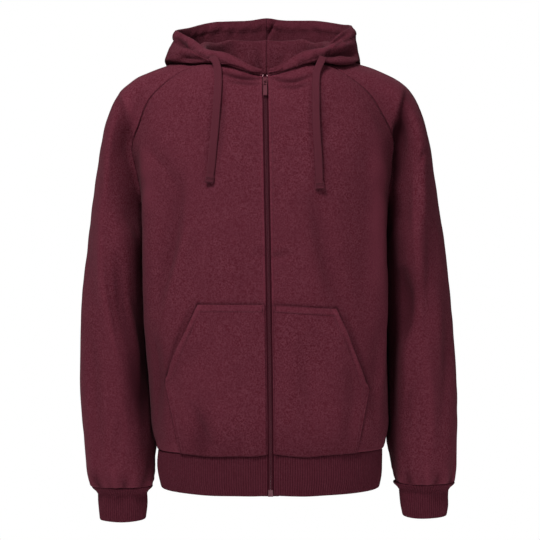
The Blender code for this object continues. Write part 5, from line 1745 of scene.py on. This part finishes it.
def lay_pocket(side, front):
    """Grid of a pocket in the front view, and the same grid laid on its front."""
    tree = grid_tree(front.points)
    outline = pocket_corners(side)
    inner_top, top, mouth, corner, _ = outline
    bends = (np.array([mouth[1], corner[1]]) - HEM_SEAM) / (top[1] - HEM_SEAM)
    near_rim = [0.004, 0.011, 0.022, 0.945, 0.965, 0.978, 0.989, 0.996]
    share = np.unique(np.concatenate([np.linspace(0, 1, 62), near_rim, bends]))
    column = np.unique(np.concatenate([np.linspace(0, 1, 44), [0.006, 0.014, 0.03, 0.97, 0.986, 0.994]]))
    edge_z, near_z = (HEM_SEAM + (height - HEM_SEAM) * share for height in (top[1], inner_top[1]))
    edge_x = np.interp(edge_z, outline[:0:-1, 1], outline[:0:-1, 0])
    near_x = np.array([zip_x(height) for height in near_z]) + side * (ZIP_HALF + 1.6)
    near = np.stack([near_x, near_z], axis=1)[:, None]
    edge = np.stack([edge_x, edge_z], axis=1)[:, None]
    flat = near + (edge - near) * column[:, None]
    lift = hem_wave(flat[..., 0], np.full(flat.shape[:2], -130.0)) + 1.0
    flat[..., 1] += lift * ease(1 - share / 0.2)[:, None]
    base = np.array([drop_on(tree, *spot)[0] for spot in flat.reshape(-1, 2)])
    return flat, base.reshape(*flat.shape[:2], 3)


def pocket(side, front, look, threads):
    """A patch pocket laid on its front: sewn flat on all sides but the slanted mouth, which stands off."""
    inner_top, top, mouth, corner, foot = pocket_corners(side)
    flat, base = lay_pocket(side, front)
    facing = unit(grid_normals(base, side < 0))
    to_mouth = segment_distance(flat, top, mouth)
    to_top = segment_distance(flat, inner_top, top)
    to_side = np.minimum(segment_distance(flat, corner, foot), segment_distance(flat, mouth, corner))
    to_zip = np.linalg.norm(flat - flat[:, :1], axis=-1)
    to_hem = flat[..., 1] - flat[:1, :, 1]
    sewn_rim = np.minimum.reduce([to_top, to_side, to_zip, to_hem])
    rim = np.minimum(sewn_rim, to_mouth)
    slant = mouth - top
    along_mouth = np.clip((flat - top) @ slant / slant.dot(slant), 0, 1)
    stand = POCKET_STAND * np.sin(math.pi * along_mouth) ** 0.7 * bell(to_mouth, 22) * ease(sewn_rim / 10)
    belly = POCKET_BELLY * ease(sewn_rim / 45) + 0.5 * wobble(base, 60, 41) * ease(sewn_rim / 25)
    gap = POCKET_GAP + stand + belly
    relief = np.zeros(rim.shape)
    for distance, hem in zip((to_top, to_mouth, to_side), POCKET_HEMS):
        reach, soft, rise, stitched, groove, width = hem
        relief += rise * ease((reach - distance) / soft) - groove * bell(distance - stitched, width)
    ruck = 0.4 * np.sin(2 * math.pi * (flat[..., 0] + 0.6 * flat[..., 1]) / 10.5) * bell(sewn_rim - 3, 5)
    # painted shade in the stitched grooves and along the rim, painted light on the turned hems, painted shade
    # darker towards the bottom and in a patch low on the left pocket
    tone = np.where(relief < 0, 1.3 * relief, 0.26 * relief) - 0.9 * bell(rim, 0.8)
    tone -= 0.30 * ease((-550 - flat[..., 1]) / 90)
    tone -= 0.55 * bell(flat[..., 0] + 102, 14) * bell(flat[..., 1] + 600, 44)
    thick = CLOTH + POCKET_EXTRA
    drop = edge_drop(rim, 0.5 * thick)
    outer = base + facing * (gap + thick + relief + ruck - drop)[..., None]
    inner = base + facing * (gap + drop)[..., None]
    name = "pocket_" + SIDES[side] + "_cloth"
    made = wall(name, outer, inner, side < 0, look, flat[..., 0] * side, flat[..., 1], np.clip(tone, -1, 1))

    surface = grid_tree(outer)
    hem = POCKET_HEMS[0][3]
    top_start = (inner_top[0] + side * 9 + zip_x(inner_top[1]), inner_top[1] - hem)
    for start, end in (
        (top_start, (top[0] - side * 0.5, top[1] - hem)),
        offset_line(top, mouth, side, 7.5, 11.0, 2.0),
        offset_line(mouth, foot, side, 2.8, 4.0, 0.5),
    ):
        threads.run(*laid_on(surface, np.linspace(start, end, 40)))
    return made


def hood_panels(neck, shell):
    """Both hood pieces as fine panels, creased and joined, and the coarse sheet they are refined from."""
    cloth, grids = build_hood(neck)
    keep_off(cloth, shell, HOOD_CLEAR, {number for grid in grids.values() for number in grid[0]})
    cloth.points[[row[-1] for row in grids[1]], 0] = 0.0
    left, right = (cloth.points[np.array(grids[side])] for side in SIDES)
    columns = stops(HOOD_COLUMNS, FINE_HOOD)
    columns = np.concatenate([columns, 2 * HOOD_COLUMNS - columns[-2::-1]])
    coarse = np.concatenate([left, right[:, -2::-1]], axis=1)
    fine = refine(coarse, stops(HOOD_ROWS, FINE_HOOD, False, True), columns)
    bend(fine[1:], HOOD_BENDS, 0)
    centre = len(columns) // 2
    fine[:, centre, 0] = 0.0
    halves = {"hood_left": fine[:, :centre + 1], "hood_right": fine[:, :centre - 1:-1]}
    panels = [Panel(name, points, name == "hood_left") for name, points in halves.items()]
    count = join_facing(panels)
    pushes = []
    for panel in panels:
        free = ease(panel.low / 25)
        push = hood_crease_push(panel) * free
        # painted shade in the crease troughs and painted light on their ridges
        panel.tone = np.clip(0.05 * push, -0.6, 0.25)
        pushes.append(push + (0.8 * wobble(panel.points, 80, 8) + 0.4 * wobble(panel.points, 30, 9)) * free)
    push_together(panels, count, pushes)
    for panel in panels:
        panel.measure()
    join_facing(panels)
    return panels, cloth


def hood_piece(panel, look, threads):
    """One hood piece, with the casing, the centre seam and their stitching on both faces."""
    inside = np.clip(panel.top / CASING_STITCH, 0, 1)
    bulge = CASING_PUFF * np.sin(math.pi * inside) ** 0.7 * (1 + 0.2 * wobble(panel.points, 40, 17))
    bulge = np.maximum(bulge, CASING_EXTRA * ease((CASING_STITCH - panel.top) / 2.0) * (inside > 0.5))
    room = ease((panel.top + panel.low - 14) / 44)
    half = 0.5 * (CLOTH + bulge * room + RIM_EXTRA * ease((6 - panel.top) / 6))
    drop = np.minimum(edge_drop(panel.top, 0.5 * (CLOTH + RIM_EXTRA)), half)
    groove = 0.95 * bell(panel.top - CASING_STITCH, 1.3) * room
    centre = 1.1 * bell(panel.right, 1.3) - 0.9 * ease((6 - panel.right) / 2)
    centre += 0.5 * bell(panel.right - CENTRE_STITCH, 0.9)
    phase = 2 * math.pi * panel.across / 9.5 + 1.5 * np.sin(panel.across / 23)
    slow = 2 * math.pi * panel.across / 24.0 + 1.9 * np.sin(panel.across / 41)
    ruck = 0.5 * np.sin(phase) * bell(panel.top - CASING_STITCH, 6.5)
    ruck += 0.9 * np.sin(slow) * bell(panel.top - CASING_STITCH + 3, 9.0)
    ruck *= room * np.clip(0.75 + 0.8 * wobble(panel.points, 70, 19), 0.1, 1.6)
    seam = 0.8 * bell(panel.low, 1.4)
    rise = half - drop - groove - centre
    outer = panel.raised(rise + ruck - seam - 0.5 * CLOTH)
    inner = panel.raised(0.8 * ruck - rise - 0.5 * CLOTH)
    # painted shade in the casing groove, along the centre seam and at the neck seam, painted light on the
    # raised puckers, beside the centre edge and along the casing roll
    tone = panel.tone - 0.8 * groove - 0.8 * bell(panel.right, 1.3) - 0.6 * seam + 0.3 * ruck
    tone = np.clip(tone + 0.25 * ease((6 - panel.right) / 2) + 0.5 * bell(panel.top - 8, 6), -1, 1)
    made = panel_wall(panel, outer, inner, look, tone)
    wide = int(np.searchsorted(panel.across[-1], 14))
    for face, surface in ((1, outer), (-1, inner)):
        shown = copy.copy(panel)
        shown.points = surface
        shown.facing = panel.facing * face
        threads.sew(shown, "top", CASING_STITCH, slice(wide, None), 0.1)
        threads.sew(shown, "right", CENTRE_STITCH, slice(6, None), 0.1)
    return made, grid_tree(outer)


def buttonhole(spot, surface, threads):
    """Close stitches along both lips of the slit that a cord comes out of."""
    for lip in (1.2, -1.0):
        ends = [(spot[0] + across, spot[2] + 2.0 + lip) for across in (-SLIT_HALF, SLIT_HALF)]
        points, facing = laid_on(surface, np.linspace(*ends, 20), spot[1] + 25)
        if len(points) > 4:
            threads.run(points, facing, SLIT_STITCH, True)


def cord_route(rows, trees):
    """The middle of a cord that hangs down the front, clear of every surface under it."""
    keys = lengths(np.stack([rows["x"], rows["z"]], axis=1))
    run = np.stack([rows["x"], rows["z"], rows["off"]], axis=1)
    spots = []
    for x, z, off in curve(keys, run, np.linspace(0, keys[-1], 25)):
        hits = [drop_on(tree, x, z)[0] for tree in trees]
        spots.append([x, min(hit.y for hit in hits if hit is not None) - off, z])
    spots = np.array(spots)
    depth = spots[:, 1]
    for _ in range(4):
        depth[1:-1] = np.minimum(depth[1:-1], 0.5 * (depth[:-2] + depth[2:]))
    return spots


def cord(name, rows, trees, look, threads):
    """A flat knitted draw cord: a rounded tape of closed rings, tacked flat at its end."""
    spots = cord_route(rows, trees)
    keys = lengths(spots)
    places = np.linspace(0, keys[-1], CORD_RINGS)
    path = curve(keys, spots, places)
    left = keys[-1] - places
    pinch = bell(left - 14.5, 2.2)
    width = CORD_WIDTH + 0.25 * np.sin(places / 9.0) + 2.6 * ease((13.5 - left) / 4) - 1.6 * pinch
    thick = CORD_THICK + 0.9 * ease((12.5 - left) / 3) - 0.9 * pinch - 1.0 * ease((1.2 - left) / 1.2)
    along = unit(np.gradient(path, axis=0))
    side = unit([1.0, 0, 0] - along * along[:, :1])
    out = np.cross(along, side)
    twist = (0.10 * np.sin(places / 38.0) + 0.05 * np.sin(places / 17.0))[:, None]
    side, out = (side * np.cos(twist) + out * np.sin(twist), out * np.cos(twist) - side * np.sin(twist))
    wide, deep = rounded(2 * math.pi * (np.arange(CORD_SIDES + 1) + 0.5) / CORD_SIDES, 0.72)
    deep = deep * (0.82 + 0.18 * wide**2)
    points = path[:, None] + 0.5 * side[:, None] * np.outer(width, wide)[..., None]
    points += 0.5 * out[:, None] * np.outer(thick, deep)[..., None]
    index, quads = grid_quads(*points.shape[:2])
    uv = np.stack([np.tile(lengths(points[10]), len(path)), np.repeat(places, len(wide))], axis=1) * MM
    ends = [index[0, :-1].tolist(), index[-1, -2::-1].tolist()]
    made = fix_facing(make_mesh(name, points.reshape(-1, 3), quads.tolist() + ends, look, uv), 1e-7)
    face = out if out[len(out) // 2][1] < 0 else -out
    for distance in CORD_TACKS:
        spot = np.argmin(np.abs(left - distance))
        reach = np.linspace(-0.44, 0.44, 12)[:, None] * width[spot]
        line = path[spot] + side[spot] * reach + face[spot] * (0.5 * thick[spot] * 0.93)
        threads.run(line, np.tile(face[spot], (12, 1)), TACK_STITCH, True)
    return made, path


def zip_line(front):
    """The zip line from the hem edge to the neck on the outer cloth, with its outward direction."""
    inner = 0.5 * (front[-1].points[:, 0] + front[1].points[:, 0])
    heights = np.linspace(HEM_EDGE, HEM_SEAM - 4, 8)
    low = [(zip_x(height), -read(HEM, "front", height), height) for height in heights]
    path = spread(np.concatenate([low, inner[inner[:, 2] > HEM_SEAM + 2]]), 259)
    for axis in (0, 1):
        path[4:-4, axis] = np.convolve(path[:, axis], np.ones(9) / 9, "valid")
    along = np.gradient(path, axis=0)
    return path, unit(np.stack([0 * along[:, 0], -along[:, 2], along[:, 1]], axis=1))


def between(path, facing, low, high, step):
    """Part of the zip line between two heights at an even step."""
    keys = lengths(path)
    start, end = np.interp((low, high), path[:, 2], keys)
    places = np.linspace(start, end, max(int(round((end - start) / step)), 2) + 1)
    return sample(places, keys, path), unit(sample(places, keys, facing))


def tape(name, side, path, facing, top, look):
    """One woven tape, bent back from the coil to behind the cloth."""
    spots, ways = between(path, facing, HEM_EDGE + 1.2, top - 1.0, TAPE_STEP)
    middle = CHAIN_PROUD - 0.5 * CHAIN_THICK
    behind = -(CLOTH + RIB_EXTRA)
    back = behind - TAPE_THICK
    edge = ZIP_HALF
    # front face from the coil out, then the back face
    line = np.array([
        (0.05, middle + 0.42),
        (edge - 2.4, middle + 0.45),
        (edge - 1.2, middle + 0.45),
        (edge - 0.8, middle + 0.35),
        (edge - 0.35, behind + 0.3),
        (edge + 0.3, behind),
        (9.0, behind),
        (TAPE_WIDTH - 0.4, behind),
        (TAPE_WIDTH, behind - 0.15),
        (TAPE_WIDTH, back + 0.15),
        (TAPE_WIDTH - 0.4, back),
        (9.0, back),
        (edge + 0.1, back),
        (edge - 0.9, back + 0.3),
        (edge - 1.6, middle - 0.4),
        (edge - 2.4, middle - 0.45),
        (0.05, middle - 0.42),
    ])
    across = np.stack([side * line[:, 0], 0 * line[:, 0], 0 * line[:, 0]], axis=1)
    points = spots[:, None] + across + ways[:, None] * line[:, 1:]
    ring = list(range(len(line)))
    ends = [ring[::-1], [len(line) * (len(spots) - 1) + number for number in ring]]
    faces = tube_faces(len(spots), len(line)).tolist() + ends
    return fix_facing(make_mesh(name, points.reshape(-1, 3), faces, look, None, False))


def coil(path, facing, top, look):
    """The closed nylon coil: loops from both sides meet in the middle, half a pitch apart."""
    spots, ways = between(path, facing, HEM_EDGE + 12.5, top, COIL_PITCH)
    along = unit(np.gradient(spots, axis=0))
    turn = np.linspace(-0.5, 1.5, 8)
    across = np.cos(math.pi * turn)
    loop = np.stack([
        0.95 + 1.15 * across * np.where(across > 0, 1.0, 0.7),
        0.62 * np.sin(math.pi * turn),
        0.12 * turn,
    ], axis=1)
    step = unit(np.gradient(loop, axis=0))
    lift = CHAIN_PROUD - 0.5 * CHAIN_THICK + 0.75
    angle = 2 * math.pi * np.arange(COIL_SIDES)[:, None] / COIL_SIDES
    points = []
    for side in SIDES:
        for spot, way, up in zip(spots, ways, along):
            base = spot + up * (0.0 if side < 0 else 0.5 * COIL_PITCH) + way * lift
            axes = np.array([(side, 0.0, 0.0), way, up])
            for centre, run in zip(base + loop @ axes, step @ axes):
                one = unit(up - run * run.dot(up))
                ring = np.cos(angle) * one + np.sin(angle) * np.cross(run, one)
                points.append(centre + COIL_RADIUS * ring)
    starts = np.arange(0, len(points) * COIL_SIDES, len(loop) * COIL_SIDES)
    faces = (tube_faces(len(loop), COIL_SIDES) + starts[:, None, None]).reshape(-1, 4)
    return fix_facing(make_mesh("zip_coil", np.concatenate(points), faces, look))


def refined_copy(node, name, look, bevel):
    """A hard CAD node with its flat faces joined and its edges rounded."""
    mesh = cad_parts[node].data.copy()
    shape = bmesh.new()
    shape.from_mesh(mesh)
    bmesh.ops.remove_doubles(shape, verts=shape.verts, dist=1e-6)
    bmesh.ops.dissolve_limit(shape, angle_limit=0.02, verts=shape.verts, edges=shape.edges)
    shape.to_mesh(mesh)
    shape.free()
    mesh.materials.clear()
    mesh.materials.append(look)
    made = put_in_scene(name, mesh)
    round_off = made.modifiers.new("round", "BEVEL")
    round_off.width = bevel * MM
    round_off.segments = 3
    round_off.limit_method = "ANGLE"
    round_off.angle_limit = math.radians(28)
    round_off.use_clamp_overlap = True
    mesh.polygons.foreach_set("use_smooth", [True] * len(mesh.polygons))
    made.modifiers.new("flat", "WEIGHTED_NORMAL").keep_sharp = False
    return made


def sew_panel(panel, threads):
    """The topstitching of one panel along its seams and zip edge."""
    if panel.sleeve:
        for edge in ("left", "right"):
            threads.sew(panel, edge, RAGLAN_STITCH, slice(panel.under + 3, None))
    threads.sew(panel, "top", NECK_STITCH, slice(1, -1))
    if not panel.sleeve:
        threads.sew(panel, "low", HEM_STITCH, slice(1, -1))
    if panel.name.startswith("front"):
        threads.sew(panel, "left", ZIP_STITCH, slice(3, -3))


def main():
    studio()
    fleece = cloth_material("fleece", DYE, 1.15, 0.95)
    # the hood takes the fleece dye painted darker, as the shade that lies on it
    hood_shaded_look = cloth_material("fleece_hood", shade(DYE, 0.80), 1.15, 0.95)
    # the ribs take the fleece dye painted darker, as the shade low on the garment
    rib_shaded_look = cloth_material("rib_knit", shade(DYE, 0.73), 0.95, 0.9, 0.5, 0.5, 0.02)
    cord_look = cord_material("flat_cord", shade(DYE, 0.98))
    # the near black crimson of the tapes paints the shade in the gaps beside the coil
    tape_shaded_look = tape_material("zip_tape", (0.045, 0.0055, 0.0115))
    thread = thread_material("sewing_thread", shade(DYE, 1.02))
    coil_look = hard_material("nylon_coil", (0.115, 0.026, 0.040), (0.17, 0.055, 0.075), 0.0, 0.6, 0.2, 0.12)
    paint = hard_material("painted_slider", (0.092, 0.0185, 0.029), (0.24, 0.075, 0.095), 0.0, 0.5, 0.3, 0.08)
    steel = hard_material("bright_metal", (0.30, 0.135, 0.16), (0.5, 0.30, 0.32), 1.0, 0.42)
    dull = hard_material("dull_metal", (0.17, 0.062, 0.078), (0.42, 0.22, 0.25), 1.0, 0.46)

    cloth, grids = build_shell()
    neck = {side: np.array(cloth.points)[grids["neck", side]] for side in SIDES}
    shell = sheet_tree(cloth)
    panels = fine_panels(cloth, grids)
    front = {side: panels["front_" + name] for side, name in SIDES.items()}
    for side in SIDES:
        pocket_shade(front[side], side)
    threads = Stitches()
    made = {}
    for name, panel in panels.items():
        made[name] = cloth_wall(panel, fleece)
        sew_panel(panel, threads)
    hood_threads = Stitches()
    hoods, hood_cloth = hood_panels(neck, shell)
    hood_surfaces = []
    for panel in hoods:
        made[panel.name], surface = hood_piece(panel, hood_shaded_look, hood_threads)
        hood_surfaces.append(surface)
    made["hem_rib"] = hem_band(rib_shaded_look)
    made["cuff_left"] = cuff_band(0, rib_shaded_look)
    made["cuff_right"] = cuff_band(1, rib_shaded_look)
    for side, name in SIDES.items():
        made["pocket_" + name] = pocket(side, front[side], fleece, threads)

    path, facing = zip_line(front)
    top = float(path[-1][2])
    for side, name in SIDES.items():
        made["zip_tape_" + name] = tape("tape_" + name, side, path, facing, top, tape_shaded_look)
    slider_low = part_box("zip_slider")[0][2] / MM
    made["zip_chain"] = coil(path, facing, slider_low + 0.6 * SLIDER_LENGTH, coil_look)
    for node, name, look, bevel in (
        ("zip_slider", "slider", paint, 0.28),
        ("zip_pull", "pull_tab", paint, 0.26),
        ("zip_bottom_box", "zip_bottom_box_metal", dull, 0.3),
        ("zip_top_stop_left", "zip_top_stop_left_metal", steel, 0.3),
        ("zip_top_stop_right", "zip_top_stop_right_metal", steel, 0.3),
    ):
        made[node] = refined_copy(node, name, look, bevel)

    trees = [shell, sheet_tree(hood_cloth)]
    cords = {}
    for (side, name), surface in zip(SIDES.items(), hood_surfaces):
        node = "cord_" + name
        made[node], cords[node] = cord(node + "_knit", CORD[side], trees, cord_look, threads)
        buttonhole(cords[node][0], surface, hood_threads)

    for node, piece in made.items():
        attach(piece, "pull" if node == "zip_pull" else "hoodie")
        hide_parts(node)
    for piece in (threads.build("stitching_body", thread), hood_threads.build("stitching_hood", thread)):
        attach(piece, "hoodie")
    return made


PIECES = main()
